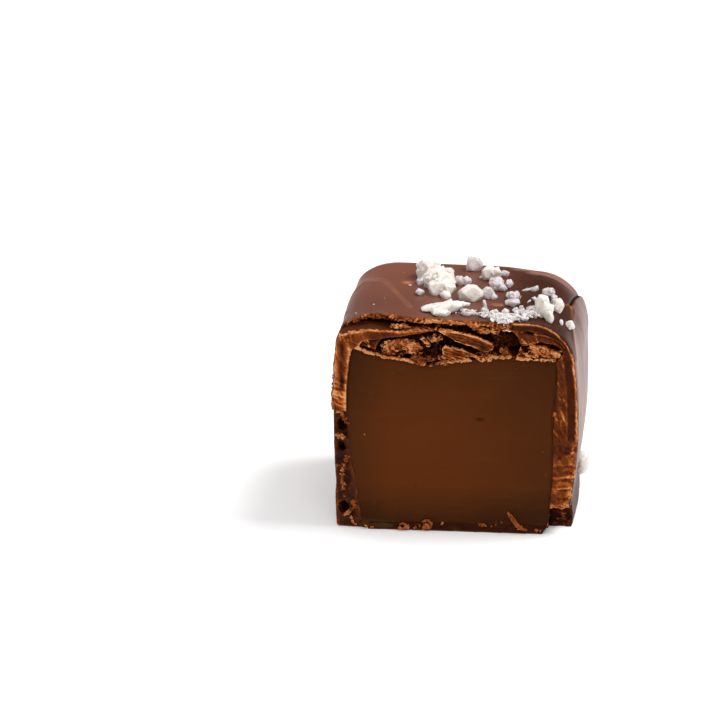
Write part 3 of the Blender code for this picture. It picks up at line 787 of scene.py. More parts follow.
caramel = {
    "voxel": 0.14, "mostFaces": 60000,
    "overlap": 0.03,   # how far it reaches into the coating at its edge
    "smear": ((-7.1, 0.12, 0.4), (3.4, 0.42, 0.6)),   # x, back and z of its middle, and its size
    "top": [(9.0, 17.3), (8.4, 17.22), (7.6, 17.3), (6.0, 17.42), (4.4, 17.42), (3.0, 17.35), (1.6, 17.08),
            (0.4, 16.9), (-0.4, 16.7), (-1.2, 16.52), (-2.5, 16.45), (-3.3, 16.52), (-4.2, 16.75),
            (-5.1, 17.0), (-6.5, 17.17), (-7.8, 17.48), (-8.5, 17.75), (-9.2, 18.05), (-9.5, 17.9)],
    "left": [(-9.72, 17.2), (-9.95, 15.0), (-10.05, 12.9), (-10.0, 11.2), (-9.88, 9.5), (-9.75, 7.9),
             (-9.5, 6.4), (-9.21, 5.0), (-8.95, 3.6), (-8.8, 2.3), (-8.6, 0.75)],
    "right": [(8.8, 0.75), (8.98, 2.75), (9.2, 4.9), (9.26, 7.9), (9.18, 10.2), (9.28, 12.6), (9.45, 14.9),
              (9.47, 16.6), (9.3, 17.1)],
}


def caramelOutline(grow):
    # The caramel's edge at the cut, moved out all round
    middle = np.array([-0.3, 9.2])
    outline = []
    for point in caramel["right"] + caramel["top"] + caramel["left"]:
        way = np.array(point) - middle
        outline.append(tuple(np.array(point) + way / np.abs(way).max() * grow))
    return outline


def makeCaramel():
    outline = caramelOutline(caramel["overlap"])
    body = slab("caramel_core", outline, 0.0, skin["depth"] - skin["endWall"] - 0.05)
    (x, back, z), size = caramel["smear"]
    body = joined("caramel_core", [body, lump("smear", (x, cutY(x) + back, z), size, 55, 0.2)])
    remeshed(body, caramel["voxel"])
    places = readPoints(body)
    normals = readPoints(body, "normal")
    x, y, z = places.T
    facing = (normals[:, 1] < -0.7) & (y - cutY(x) < 0.3)
    wave = 0.01 * grain(places, np.array([5.0, 1, 0.5]), 51) + 0.03 * grain(places, 6.0, 52)
    rounded = 0.16 * (1 - smoothStep(awayFromLine(x, z, outline), 0.0, 0.45))
    pit = 0.4 * hump(x, 2.35, 0.42) * hump(z + 0.12 * (x - 2.35), 11.35, 0.13)
    pit = pit + 0.2 * hump(x, -3.55, 0.12) * hump(z, 4.6, 0.1)
    drag = 0.08 * within(x, -5.5, -1.0, 1.0) * within(z, 15.3, 16.3, 0.3) * (0.5 + crumble(places, 0.5, 53))
    y = np.where(facing, y + wave + rounded + pit + drag + 0.02, y)
    writePoints(body, np.stack([x, y, z], axis=1))
    return thinned(body, caramel["mostFaces"])


flakes = {
    "voxel": 0.06, "seed": 4, "mostFaces": 150000,
    "slabs": {   # outline at the cut, front and rear
        "splinter": ([(-1.75, 20.0), (-0.4, 19.9), (0.0, 19.84), (0.93, 19.66), (1.96, 19.4), (2.75, 19.06),
                      (3.4, 18.72), (3.58, 18.5), (3.42, 18.25), (3.01, 17.98), (2.37, 18.12), (1.73, 18.44),
                      (0.78, 18.72), (0.0, 18.98), (-0.37, 19.23), (-1.2, 19.7)], 0.02, 0.55),
        "streaky_slab": ([(-1.2, 18.2), (-0.9, 18.45), (0.24, 18.25), (0.8, 18.1), (2.05, 17.55), (2.0, 17.4),
                          (0.6, 17.5), (-0.2, 17.3), (-1.1, 17.6)], 0.12, 0.6),
        "lower_slab": ([(-1.6, 17.35), (-0.6, 17.6), (0.5, 17.45), (1.2, 17.25), (0.2, 17.0), (-1.0, 16.75)],
                       0.05, 1.0),
        "orange_slab": ([(6.05, 18.95), (6.1, 19.5), (6.4, 19.68), (7.2, 19.62), (8.0, 19.5), (9.0, 19.25),
                         (9.7, 18.9), (9.0, 18.98), (7.9, 19.16), (7.2, 19.02), (6.7, 19.1),
                         (6.5, 18.85)], 0.04, 0.7),
        "curl": ([(-3.1, 19.3), (-2.6, 18.95), (-2.35, 18.35), (-2.55, 18.3), (-2.8, 18.75), (-3.2, 19.0)],
                 0.15, 1.2),
        "left_flake": ([(-8.6, 18.8), (-8.3, 19.05), (-7.85, 18.65), (-7.9, 18.2), (-8.1, 18.35)], 0.1, 0.9),
        "hanging_flake": ([(6.65, 19.05), (7.0, 18.95), (7.5, 18.6), (7.3, 18.15), (7.05, 18.5)], 0.05, 0.8),
        "left_tooth": ([(4.1, 18.6), (4.3, 18.5), (5.2, 17.7), (5.1, 17.3), (4.0, 17.3), (4.3, 17.8)], 0.1,
                       1.0),
        "right_tooth": ([(6.0, 18.5), (6.2, 18.3), (6.75, 17.7), (6.6, 17.3), (5.6, 17.3), (5.8, 17.8)], 0.1,
                        1.0),
        "pillar": ([(3.0, 20.55), (3.6, 20.8), (4.1, 19.95), (3.9, 19.5), (3.5, 19.6), (3.2, 20.0)], 0.5,
                   1.6),
    },
    "lumps": [   # x, z, back, width, depth, height
        (-5.95, 18.3, 0.75, 1.5, 1.2, 1.2), (-4.9, 18.45, 0.8, 1.7, 1.3, 1.1),
        (-3.95, 18.2, 0.7, 1.4, 1.2, 0.8), (-5.2, 17.75, 0.7, 1.6, 1.0, 0.6),
        (-1.8, 19.2, 0.5, 1.3, 1.0, 0.7), (-2.3, 17.3, 1.0, 1.3, 1.4, 0.9),
        (-3.3, 17.25, 0.6, 0.9, 0.9, 1.1), (3.0, 17.65, 0.7, 1.9, 1.2, 0.7), (7.3, 18.0, 0.6, 1.3, 1.1, 0.8),
        (8.3, 18.15, 0.7, 1.5, 1.1, 0.8), (9.1, 17.8, 0.6, 0.9, 1.0, 0.6), (-4.9, 20.2, 1.2, 1.2, 0.9, 0.5),
        (4.7, 19.3, 2.6, 2.2, 1.2, 1.6), (-1.9, 17.9, 2.2, 2.4, 1.2, 1.8),
    ],
    "rows": [
        # the crumbled mass, and what lies along the caramel's top edge
        {"line": [(-6.4, 18.25), (-5.0, 18.65), (-3.5, 18.2)], "count": 70, "spread": 0.26,
         "back": (0.05, 0.6), "size": (0.1, 0.3), "lean": 0.2},
        {"line": [(-6.5, 18.1), (-5.6, 18.75), (-4.3, 18.6), (-3.2, 18.0)], "count": 26, "spread": 0.16,
         "back": (0.0, 0.35), "size": (0.28, 0.5), "flat": (0.15, 0.35), "lean": 0.2},
        {"line": [(-9.1, 18.1), (-8.2, 17.75), (-6.5, 17.3), (-4.9, 17.12), (-3.7, 16.8)], "count": 130,
         "spread": 0.045, "back": (-0.02, 0.15), "size": (0.09, 0.22), "lean": 0.25, "tumble": 0.3},
        {"line": [(-3.9, 17.5), (-3.2, 17.0), (-2.9, 16.8)], "count": 40, "spread": 0.1, "back": (0.0, 0.5),
         "size": (0.1, 0.28), "tumble": 1.0},
        {"line": [(-1.6, 16.75), (-1.0, 16.85), (0.1, 17.05), (1.4, 17.25)], "count": 60, "spread": 0.09,
         "back": (0.0, 0.6), "size": (0.1, 0.28), "flat": (0.2, 0.5), "lean": -0.3},
        {"line": [(1.6, 17.25), (3.0, 17.5), (4.4, 17.55), (5.8, 17.5), (7.2, 17.4), (9.2, 17.35)],
         "count": 100, "spread": 0.06, "back": (0.0, 0.5), "size": (0.08, 0.24)},
        {"line": [(4.3, 18.3), (5.1, 17.6)], "count": 24, "spread": 0.1, "back": (0.05, 0.6),
         "size": (0.1, 0.26)},
        {"line": [(6.9, 18.5), (8.2, 18.25), (9.4, 17.85)], "count": 110, "spread": 0.22, "back": (0.05, 0.8),
         "size": (0.12, 0.34), "lean": 0.3},
        {"line": [(6.1, 19.45), (6.2, 18.95), (6.7, 19.0)], "count": 22, "spread": 0.06, "back": (0.0, 0.3),
         "size": (0.1, 0.22)},
        # the coat's broken edge over the ledge
        {"line": [(-9.4, 20.7), (-8.2, 21.2), (-6.0, 21.35)], "count": 40, "spread": 0.06, "back": (1.8, 2.1),
         "size": (0.07, 0.18)},
        {"line": [(-6.0, 21.3), (-4.4, 21.1), (-3.0, 20.85)], "count": 60, "spread": 0.08, "back": (0.9, 1.5),
         "size": (0.09, 0.24)},
        {"line": [(-3.0, 20.85), (-1.0, 20.85), (0.8, 20.72), (2.2, 20.6)], "count": 80, "spread": 0.07,
         "back": (0.4, 0.8), "size": (0.09, 0.24), "flat": (0.3, 0.6)},
        {"line": [(1.4, 20.5), (2.4, 20.2), (3.0, 20.0)], "count": 60, "spread": 0.14, "back": (0.25, 0.8),
         "size": (0.1, 0.28)},
        {"line": [(4.1, 20.5), (5.0, 20.35)], "count": 30, "spread": 0.12, "back": (0.15, 0.8),
         "size": (0.1, 0.26)},
        {"line": [(-5.9, 20.35), (-4.6, 20.3)], "count": 30, "spread": 0.1, "back": (0.7, 1.3),
         "size": (0.12, 0.3)},
        # the ledge's crest
        {"line": [(-9.8, 19.6), (-8, 19.92), (-6.8, 19.82), (-5.3, 19.72), (-3.4, 20.02), (-1.6, 20.15),
                  (-0.3, 20.05)],
         "count": 90, "spread": 0.03, "back": (-0.03, 0.15), "size": (0.06, 0.16), "tumble": 0.3},
        # the left side's seam and the rims of its pockets
        {"line": [(-10.9, 11.85), (-10.4, 11.5), (-10.15, 11.1), (-9.9, 10.6)], "count": 50, "spread": 0.05,
         "back": (0.1, 0.7), "size": (0.08, 0.2)},
        {"line": [(-10.75, 9.4), (-10.3, 9.1)], "count": 36, "spread": 0.1, "back": (1.0, 1.4),
         "size": (0.1, 0.26)},
        {"line": [(-9.93, 7.42), (-10.17, 6.55), (-10.33, 5.76), (-10.46, 4.97), (-10.22, 4.28),
                  (-10.18, 3.59),
                  (-10.14, 2.98)], "count": 90, "spread": 0.07, "back": (1.0, 1.3), "size": (0.05, 0.2)},
        {"line": [(-9.45, 2.74), (-9.2, 2.22), (-9.65, 1.8), (-10.2, 1.35)], "count": 60, "spread": 0.04,
         "back": (0.35, 0.7), "size": (0.08, 0.22)},
        {"line": [(-9.69, 1.24), (-9.37, 0.63), (-9.12, 0.3)], "count": 22, "spread": 0.04,
         "back": (0.25, 0.5), "size": (0.06, 0.15)},
        {"line": [(-11.1, 6.5), (-10.6, 6.3)], "count": 14, "spread": 0.04, "back": (1.0, 1.3),
         "size": (0.06, 0.14)},
        # the lower right side's outer edge and its foot, and the left wall's outer edge
        {"line": [(11.2, 10.8), (11.3, 9.6), (10.95, 8.5), (11.2, 7.2), (11.1, 5.8), (10.8, 4.4),
                  (10.7, 3.3)],
         "count": 110, "spread": 0.05, "back": (0.0, 0.3), "size": (0.1, 0.24), "tumble": 1.0},
        {"line": [(9.1, 2.85), (10.0, 3.0), (10.8, 3.0)], "count": 50, "spread": 0.06, "back": (0.0, 0.5),
         "size": (0.1, 0.26)},
        {"line": [(-11.35, 12.3), (-11.5, 13.5), (-11.42, 15.2), (-11.3, 17.0)], "count": 40, "spread": 0.03,
         "back": (0.0, 0.2), "size": (0.08, 0.2), "tumble": 1.2},
        {"line": [(9.2, 1.9), (10.8, 1.6)], "count": 16, "spread": 0.35, "back": (1.6, 1.9),
         "size": (0.06, 0.14)},
        # on the right side's edge of the caramel
        {"line": [(9.2, 11.9), (9.35, 12.3)], "count": 5, "spread": 0.03, "back": (-0.05, 0.05),
         "size": (0.12, 0.22)},
    ],
}


def storeBroken(piece, tone, gloss=0.0):
    # A piece that is broken all over, with no skin
    nothing = np.zeros(len(piece.data.vertices))
    storeOnPoints(piece, cut=nothing + 1, tone=tone, rub=nothing, gloss=nothing + gloss, bloom=nothing)


def toneOfFlakes(piece, streaky, finest):
    places = readPoints(piece)
    x, y, z = places.T
    back = y - cutY(x)
    # Lighter where it stands out, darker where it sinks in: painted light and shade, with random mottle
    tone = 0.5 + 0.32 * standsOut(piece, 2, finest) + 0.38 * crumble(places, 0.9, 64) + streaky
    # Painted shade darkens it further behind the cut and between the slabs, where it is also wet and glossy;
    # it is speckled low in the crumbled mass, and light along the caramel's edge
    seen = z + sightDown * back
    wetAndShaded = hump(x, -2.3, 0.7) * within(z, 16.9, 18.6, 0.2)
    speckled = hump(x, -5.2, 1.1) * hump(seen, 18.0, 0.45) * smoothStep(crumble(places, 0.25, 65), -0.5, 0.1)
    tone = tone - 0.5 * smoothStep(back, 0.6, 1.8) * (z < 19.6) - 0.3 * wetAndShaded - 0.75 * speckled
    tone = tone + 0.3 * hump(awayFromLine(x, seen, caramel["top"]), 0.05, 0.22) * (back < 0.4)
    tone = np.maximum(tone, inHollows(places))
    storeBroken(piece, tone, 0.5 * np.clip(wetAndShaded, 0, 1))


def makeFlakes():
    parts = [slab(name, outline, front, rear) for name, (outline, front, rear) in flakes["slabs"].items()]
    for i, (x, z, back, width, depth, height) in enumerate(flakes["lumps"]):
        parts.append(lump("lump", seenAt(x, z, back), (width, depth, height), 60 + i, 0.55))
    piece = remeshed(joined("broken_flakes", parts), flakes["voxel"])
    places = readPoints(piece)
    normals = readPoints(piece, "normal")
    x, y, z = places.T
    inSplinter = within(x, -1.8, 3.7, 0.05) * (awayFromLine(x, z, [(-1.6, 19.9), (3.4, 18.4)]) < 0.75)
    inSlab = within(x, -1.3, 2.1, 0.05) * (awayFromLine(x, z, [(-1.2, 17.95), (2.0, 17.4)]) < 0.5)
    inOrange = within(x, 6.8, 9.8, 0.1) * (z > 18.8) * 0.8
    streaky = np.clip(inSplinter + inSlab + inOrange, 0, 1)
    streaks = crumble(turned(places, 1.27, 0.16), 0.16, 61)
    rough = 0.17 * ridges(turned(places, 1.2, 0.45), 0.42, 62)
    rough = rough + 0.09 * crumble(turned(places, 1.0, 0.5), 0.2, 63)
    calm = streaky * (0.45 + 0.5 * smoothStep(-normals[:, 1], 0.4, 0.8))
    places = places + normals * (0.025 * streaks * streaky + rough * (1 - calm))[:, None]
    writePoints(piece, keptInside(places, 0.08, 0.02))
    # A painted highlight along the splinter's top edge
    paintedTopHighlight = hump(awayFromLine(x, z, flakes["slabs"]["splinter"][0][:7]), 0, 0.08) * (y - cutY(x) < 0.6)
    streakTone = streaky * (0.17 * streaks - 0.03 * inSplinter + 0.2 * inOrange)
    # What stands out is also painted lighter, and what sinks darker: painted light and shade
    toneOfFlakes(piece, 0.36 * standsOut(piece, 12, 0.07) + streakTone + 0.4 * paintedTopHighlight, 0.008)
    return thinned(piece, flakes["mostFaces"])


def makeShards():
    draw = random.Random(flakes["seed"])
    places = [place for row in flakes["rows"] for place in shardRow(row, draw)]
    piece = scattered("shards", shardShapes(8, 70), places)
    writePoints(piece, keptInside(readPoints(piece), 0.1, 0.05))
    toneOfFlakes(piece, 0.12, 0.03)
    return piece


crumbs = {
    "seed": 9, "voxel": 0.05,
    "groups": [   # x, z, back, spread, count, smallest, largest
        (-4.2, 0.45, -0.1, 0.2, 9, 0.1, 0.26), (-2.35, 0.6, -0.12, 0.12, 12, 0.16, 0.36),
        (-3.2, 0.4, -0.08, 0.22, 8, 0.12, 0.26), (-1.1, 0.75, -0.05, 0.06, 3, 0.14, 0.22),
        (2.6, 0.8, -0.05, 0.16, 7, 0.1, 0.24), (3.8, 0.85, -0.03, 0.35, 9, 0.06, 0.13),
        (-8.1, 0.3, -0.05, 0.2, 5, 0.1, 0.2), (6.6, 0.5, -0.05, 0.25, 7, 0.1, 0.22),
        (7.9, 0.4, -0.02, 0.18, 6, 0.1, 0.2), (-4.9, 0.35, -0.2, 0.1, 3, 0.1, 0.2),
        # single specks on the caramel
        (-7.1, 11.3, 0.0, 0.02, 1, 0.1, 0.12), (-8.3, 9.6, 0.0, 0.02, 1, 0.09, 0.11),
        (8.2, 8.3, 0.0, 0.02, 1, 0.1, 0.12), (8.6, 6.0, 0.0, 0.02, 1, 0.09, 0.11),
    ],
    # strips: their middle line at the cut, and their widths along it
    "strips": {
        "shaving": ([(5.1, 2.2), (5.35, 1.85), (5.7, 1.4), (5.95, 0.95), (6.35, 0.62), (6.95, 0.42)],
                    (0.16, 0.34, 0.36, 0.4, 0.3, 0.12)),
        "curl": ([(-5.0, 0.62), (-4.75, 0.78), (-4.45, 0.66), (-4.4, 0.42), (-4.65, 0.24), (-4.95, 0.18),
                  (-5.15, 0.28)],
                 (0.12, 0.17, 0.15, 0.19, 0.15, 0.17, 0.08)),
        "hook": ([(-2.85, 0.95), (-2.6, 1.1), (-2.25, 1.08), (-2.0, 0.8), (-2.05, 0.5), (-2.3, 0.3),
                  (-2.5, 0.55), (-2.4, 0.78)],
                 (0.14, 0.22, 0.2, 0.24, 0.2, 0.24, 0.18, 0.12)),
    },
}


def makeCrumbs():
    draw = random.Random(crumbs["seed"])
    places = []
    for x, z, back, spread, count, small, large in crumbs["groups"]:
        for _ in range(count):
            size = draw.uniform(small, large)
            at = (x + draw.gauss(0, spread), max(size / 2, z + draw.gauss(0, spread * 0.5)))
            shape = (size * draw.uniform(0.8, 1.5), size * 0.6, size * draw.uniform(0.4, 0.8))
            place = (at[0], cutY(at[0]) + back + draw.uniform(-0.1, 0.1), at[1])
            places.append(tumbled(place, shape, draw))
    curls = [slab(name, bentOutline(line, widths), -0.3, -0.02)
             for name, (line, widths) in crumbs["strips"].items()]
    curls = remeshed(joined("curls", curls), crumbs["voxel"])
    piece = joined("crumbs", [curls, scattered("chips", shardShapes(6, 90), places)])
    points, normals = readPoints(piece), readPoints(piece, "normal")
    points = points + normals * (0.04 * ridges(points, 0.3, 81))[:, None]
    points[:, 2] = np.maximum(points[:, 2], 0.005)
    writePoints(piece, points)
    # Lighter where a crumb stands out, darker where it sinks in: painted light and shade, with random mottle
    storeBroken(piece, 0.62 + 0.24 * standsOut(piece, 2, 0.02) + 0.14 * crumble(points, 0.5, 82))
    return piece


salt = {
    "seed": 3, "voxel": 0.06, "slants": 4,
    "growths": 9, "growthSize": (0.26, 0.55),   # small crystals on a craggy block, for each square millimetre
    # Blocks: x, y, raised, width, depth, height, turn. Small crystals grow on the craggy ones.
    # Plates: x, y, spread across and deep, count, smallest, largest
    "white": {
        "rough": 0.045,
        "craggy": [
            (-3.65, 2.8, 0.3, 1.9, 1.9, 1.5, 0.5), (-4.2, 2.3, 0.0, 1.0, 1.0, 1.1, 0.2),
            (-2.75, 2.3, 0.2, 1.0, 1.1, 1.1, 0.9), (-3.1, 1.1, 0.1, 1.7, 1.8, 1.3, 1.1),
            (-1.6, 0.8, 0.3, 0.9, 1.0, 1.4, 0.3), (-2.6, -0.2, 0.15, 2.1, 2.0, 1.6, 0.7),
            (-1.75, -0.8, 0.15, 1.6, 1.6, 1.5, 0.2), (-2.2, -1.6, 0.0, 2.0, 1.5, 1.3, 0.5),
            (-1.5, -1.7, 0.0, 1.2, 1.2, 1.15, 1.2), (2.25, 3.1, 0.1, 1.5, 1.2, 1.2, 0.5),
            (10.3, -5.0, 0.0, 0.65, 0.6, 0.65, 0.4),
        ],
        "smooth": [
            (0.8, -3.0, 0.0, 1.85, 1.6, 1.4, 0.35), (9.0, -3.4, 0.0, 1.1, 1.0, 1.1, 0.8),
            (-2.3, -6.8, 0.05, 2.0, 1.2, 0.6, 0.2), (-1.4, -7.2, 0.0, 2.0, 1.4, 0.9, 0.4),
            (-0.6, -6.9, 0.2, 1.7, 1.2, 0.8, 0.15), (0.35, -6.4, 0.5, 1.3, 0.6, 0.35, 0.1),
            (-1.4, -7.9, 0.0, 1.5, 0.8, 0.6, 0.2), (7.8, -6.4, 0.3, 1.1, 1.0, 1.6, 0.5),
            (8.05, -6.8, 0.0, 1.0, 1.0, 1.5, 0.45), (8.4, -7.3, 0.0, 0.7, 1.0, 1.0, 0.4),
            (9.55, -6.3, 0.0, 0.3, 0.35, 0.5, 0.2), (-1.45, -3.0, 0.0, 0.75, 0.9, 0.6, 0.9),
        ],
        "plates": [(5.9, -7.9, 0.7, 0.25, 12, 0.4, 0.8), (-2.3, 0.0, 0.9, 1.3, 8, 0.3, 0.5)],
    },
    "clear": {
        "rough": 0.04,
        "craggy": [
            (-0.6, 1.2, 0.0, 0.9, 0.9, 0.75, 0.5), (0.1, 1.3, 0.0, 0.8, 0.8, 0.6, 0.2),
            (3.0, 0.4, 0.0, 1.1, 1.1, 1.0, 0.4), (3.6, -0.1, 0.0, 0.7, 0.6, 0.5, 0.7),
            (7.95, -0.8, 0.0, 1.1, 0.9, 0.75, 0.5), (4.75, -2.2, -0.05, 1.1, 1.0, 0.5, 0.7),
        ],
        "smooth": [
            (0.45, 5.6, 0.0, 1.4, 1.2, 1.25, 0.12), (-4.2, 0.6, 0.0, 0.8, 0.8, 0.65, 0.4),
            (-4.04, -2.4, 0.0, 0.65, 0.6, 0.6, 0.9), (3.46, 4.2, 0.0, 0.65, 0.6, 0.55, 0.8),
            (4.15, 0.95, 0.0, 0.65, 0.6, 0.65, 1.1), (2.35, -2.3, 0.0, 1.15, 1.0, 1.0, 0.2),
            (3.0, -2.7, 0.0, 0.6, 0.5, 0.4, 0.6), (4.85, -4.2, -0.05, 1.2, 1.1, 0.6, 0.1),
            (6.6, 0.2, -0.05, 0.7, 0.7, 0.4, 0.2), (5.8, 0.3, -0.08, 1.2, 0.5, 0.16, 0.1),
            (8.5, -1.1, 0.0, 0.6, 0.5, 0.4, 0.9), (8.7, -2.9, 0.0, 0.6, 0.6, 0.8, 0.3),
            (0.95, -7.6, -0.05, 1.0, 0.9, 0.35, 0.7), (2.45, -6.8, 0.0, 0.6, 0.5, 0.5, 0.3),
            (2.47, -6.7, 0.35, 0.28, 0.28, 0.9, 0.3), (1.7, -7.4, -0.05, 1.3, 0.5, 0.2, 0.1),
            (4.4, -7.0, 0.0, 0.6, 0.55, 0.5, 0.4), (6.9, -6.3, 0.0, 0.9, 0.8, 0.6, 0.8),
        ],
        "plates": [(6.2, -7.0, 0.75, 0.5, 30, 0.5, 1.1), (1.2, -7.3, 0.5, 0.35, 6, 0.5, 0.9),
                   (6.6, -3.2, 0.3, 0.2, 3, 0.4, 0.6)],
    },
    "side": (11.45, 1.2, 3.3, 1.45, 2.25),   # the crystal on the right side: x, y, z, width, height
    # Fine flakes: x, y, spread across and deep, count, smallest, largest
    "fine": [(3.4, -7.8, 0.8, 0.35, 46, 0.25, 0.6), (4.4, -8.7, 0.8, 0.35, 90, 0.2, 0.6),
             (4.7, -9.25, 0.3, 0.1, 30, 0.15, 0.4), (5.4, -8.2, 0.6, 0.4, 26, 0.2, 0.5),
             (7.9, -6.4, 0.8, 0.8, 10, 0.1, 0.22), (-1.0, -7.4, 1.2, 0.5, 8, 0.1, 0.2),
             (5.5, -5.2, 0.9, 0.9, 12, 0.08, 0.18), (10.2, -5.2, 0.25, 0.5, 8, 0.1, 0.24),
             (4.8, -2.0, 0.5, 0.5, 14, 0.08, 0.2)],
    "trickle": ((4.55, 20.75), (4.75, 20.1), 26),   # down the broken edge: from and to at the cut, count
    "specks": [(-5.2, 0.05, 0.22), (1.33, 3.2, 0.32), (-8.0, -5.6, 0.12), (-9.5, -6.9, 0.1),
               (7.9, -3.2, 0.15), (-7.2, -3.9, 0.05), (-6.2, 3.8, 0.05)],
}


def facetedBlock(place, shape, turn, draw):
    # A cube with its eight corners worn off, and then cut at a slant
    corners = [(i & 1, i >> 1 & 1, i >> 2 & 1) for i in range(8)]
    ways = [(Vector(corner) * 2 - Vector((1, 1, 1)), draw.uniform(0.5, 0.64)) for corner in corners]
    for _ in range(salt["slants"]):
        way = Vector([draw.choice((-1, 1)) * draw.uniform(0.1, 1) for _ in range(3)])
        ways.append((way, draw.uniform(0.38, 0.5)))
    cuts = []
    for way, reach in ways:
        way.normalize()
        settings = {"plane_co": way * reach, "plane_no": way, "use_fill": True, "clear_outer": True}
        cuts.append((bpy.ops.mesh.bisect, settings))
    piece = cube("crystal", 1, *cuts, toTriangles, facingOut)
    tilt = (draw.uniform(-0.45, 0.45), draw.uniform(-0.45, 0.45), turn)
    piece.data.transform(placed(place, tilt, shape))
    return piece


def makeCrystals(name, group):
    draw = random.Random(salt["seed"])
    parts, places = [], []
    for x, y, raised, wide, deep, tall, turn in group["craggy"] + group["smooth"]:
        middle = (x, y, skinHeight(x, y) + raised + tall * 0.4)
        parts.append(facetedBlock(middle, (wide * 1.12, deep * 1.12, tall * 1.15), turn, draw))
    for x, y, raised, wide, deep, tall, _ in group["craggy"]:
        middle = Vector((x, y, skinHeight(x, y) + raised + tall * 0.4))
        for _ in range(int(salt["growths"] * wide * deep)):
            way = Vector([draw.gauss(0, 1) for _ in range(3)]).normalized()
            size = draw.uniform(*salt["growthSize"])
            place = middle + Vector((way.x * wide, way.y * deep, abs(way.z) * tall)) * 0.52
            shape = (size, size * draw.uniform(0.6, 1), size * draw.uniform(0.4, 1))
            places.append(tumbled(place, shape, draw))
    for x, y, across, along, count, small, large in group["plates"]:
        for _ in range(count):
            size = draw.uniform(small, large)
            at = (x + draw.gauss(0, across), y + draw.gauss(0, along))
            tilt = (draw.gauss(0, 0.5), draw.gauss(0, 0.5), draw.uniform(0, 6))
            place = (*at, skinHeight(*at) + draw.uniform(0.05, 0.35))
            shape = (size, size * draw.uniform(0.5, 0.9), 0.2)
            places.append((draw.randrange(manyShapes), placed(place, tilt, shape)))
    shapes = [takenApart(facetedBlock((0, 0, 0), (1, 1, 1), 0, draw)) for _ in range(6)]
    piece = joined(name, parts + [scattered("growths", shapes, places)])
    if name == "white_salt":
        *place, wide, tall = salt["side"]
        piece = joined(name, [piece, lump("side_crystal", place, (wide, wide, tall), 7, 0.3)])
    remeshed(piece, salt["voxel"])
    points, normals = readPoints(piece), readPoints(piece, "normal")
    move = group["rough"] * (0.8 * crumble(points, 0.5, 91) + 0.6 * crumble(points, 0.2, 92))
    writePoints(piece, points + normals * move[:, None])
    # Painted light and shade: lighter where the salt stands out, darker in its creases, with random mottle
    cloud = 0.55 + 0.3 * standsOut(piece, 3, 0.015) + 0.25 * standsOut(piece, 14, 0.07)
    storeOnPoints(piece, cloud=cloud + 0.35 * crumble(points, 0.45, 93))
    return piece


def makeFineSalt():
    draw = random.Random(salt["seed"] + 1)
    places = []
    for x, y, across, deep, count, small, large in salt["fine"]:
        for _ in range(count):
            size = draw.uniform(small, large)
            at = (x + draw.gauss(0, across * 0.6), y + draw.gauss(0, deep * 0.6))
            at = (at[0], max(at[1], cutY(at[0]) + 0.05))
            up = skinHeight(*at) + size * draw.uniform(0.1, 0.6)
            shape = (size, size * draw.uniform(0.3, 0.8), size * draw.uniform(0.12, 0.3))
            places.append(tumbled((*at, up), shape, draw))
    start, stop, count = salt["trickle"]
    for _ in range(count):
        x, z = alongLine([start, stop], draw.random())
        size = draw.uniform(0.1, 0.26)
        place = (x + draw.gauss(0, 0.16), cutY(x) + 0.35 + draw.gauss(0, 0.08), z)
        places.append(tumbled(place, (size, size, size * 0.4), draw))
    for x, y, size in salt["specks"]:
        shape = (size, size * 0.7, size * 0.5)
        places.append((1, placed((x, y, skinHeight(x, y) + 0.05), (0, 0, 0), shape)))
    return scattered("fine_salt", shardShapes(6, 15), places)


class Wire:
    # A socket whose sums and products are Math nodes
    def __init__(self, finish, socket):
        self.finish = finish
        self.socket = socket

    def maths(self, operation, first, second):
        return self.finish.node("ShaderNodeMath", {"operation": operation}, {0: first, 1: second})

    def __add__(self, other):
        return self.maths("ADD", self, other)

    def __radd__(self, other):
        return self.maths("ADD", other, self)

    def __sub__(self, other):
        return self.maths("SUBTRACT", self, other)

    def __rsub__(self, other):
        return self.maths("SUBTRACT", other, self)

    def __mul__(self, other):
        return self.maths("MULTIPLY", self, other)

    def __rmul__(self, other):
        return self.maths("MULTIPLY", other, self)


class Finish:
    def __init__(self, name):
        self.material = bpy.data.materials.new(name)
        self.material.use_nodes = True
        self.tree = self.material.node_tree
        self.shader = self.tree.nodes["Principled BSDF"]

    def node(self, kind, settings=None, sockets=None, output=0):
        made = self.tree.nodes.new(kind)
        for setting, value in (settings or {}).items():
            if setting == "stops":
                ramp = made.color_ramp
                while len(ramp.elements) < len(value):
                    ramp.elements.new(0.5)
                for element, (position, colour) in zip(ramp.elements, value):
                    element.position = position
                    element.color = (*colour, 1)
            else:
                setattr(made, setting, value)
        for socket, value in (sockets or {}).items():
            if isinstance(value, Wire):
                self.tree.links.new(value.socket, made.inputs[socket])
            else:
                made.inputs[socket].default_value = value
        return Wire(self, made.outputs[output])

    def set(self, **sockets):
        for name, value in sockets.items():
            socket = self.shader.inputs[name.replace("_", " ")]
            if isinstance(value, Wire):
                self.tree.links.new(value.socket, socket)
            else:
                socket.default_value = value

    def stored(self, name):
        return self.node("ShaderNodeAttribute", {"attribute_name": name}, output=2)

    def place(self):
        return self.node("ShaderNodeTexCoord", output=3)

    def noise(self, scale, detail, stretch=(1, 1, 1)):
        place = self.node("ShaderNodeMapping", {}, {"Vector": self.place(), "Scale": stretch})
        return self.node("ShaderNodeTexNoise", {}, {"Vector": place, "Scale": scale, "Detail": detail,
                                                    "Roughness": 0.6})

    def ramp(self, factor, stops):
        return self.node("ShaderNodeValToRGB", {"stops": stops}, {0: factor})

    def blend(self, factor, first, second):
        first, second = [value if isinstance(value, Wire) else (*value, 1) for value in (first, second)]
        return self.node("ShaderNodeMix", {"data_type": "RGBA"}, {0: factor, 6: first, 7: second}, 2)

    def clamp(self, value):
        return self.node("ShaderNodeClamp", {}, {0: value})

    def bump(self, height, strength, distance):
        return self.node("ShaderNodeBump", {}, {"Height": height, "Strength": strength, "Distance": distance})


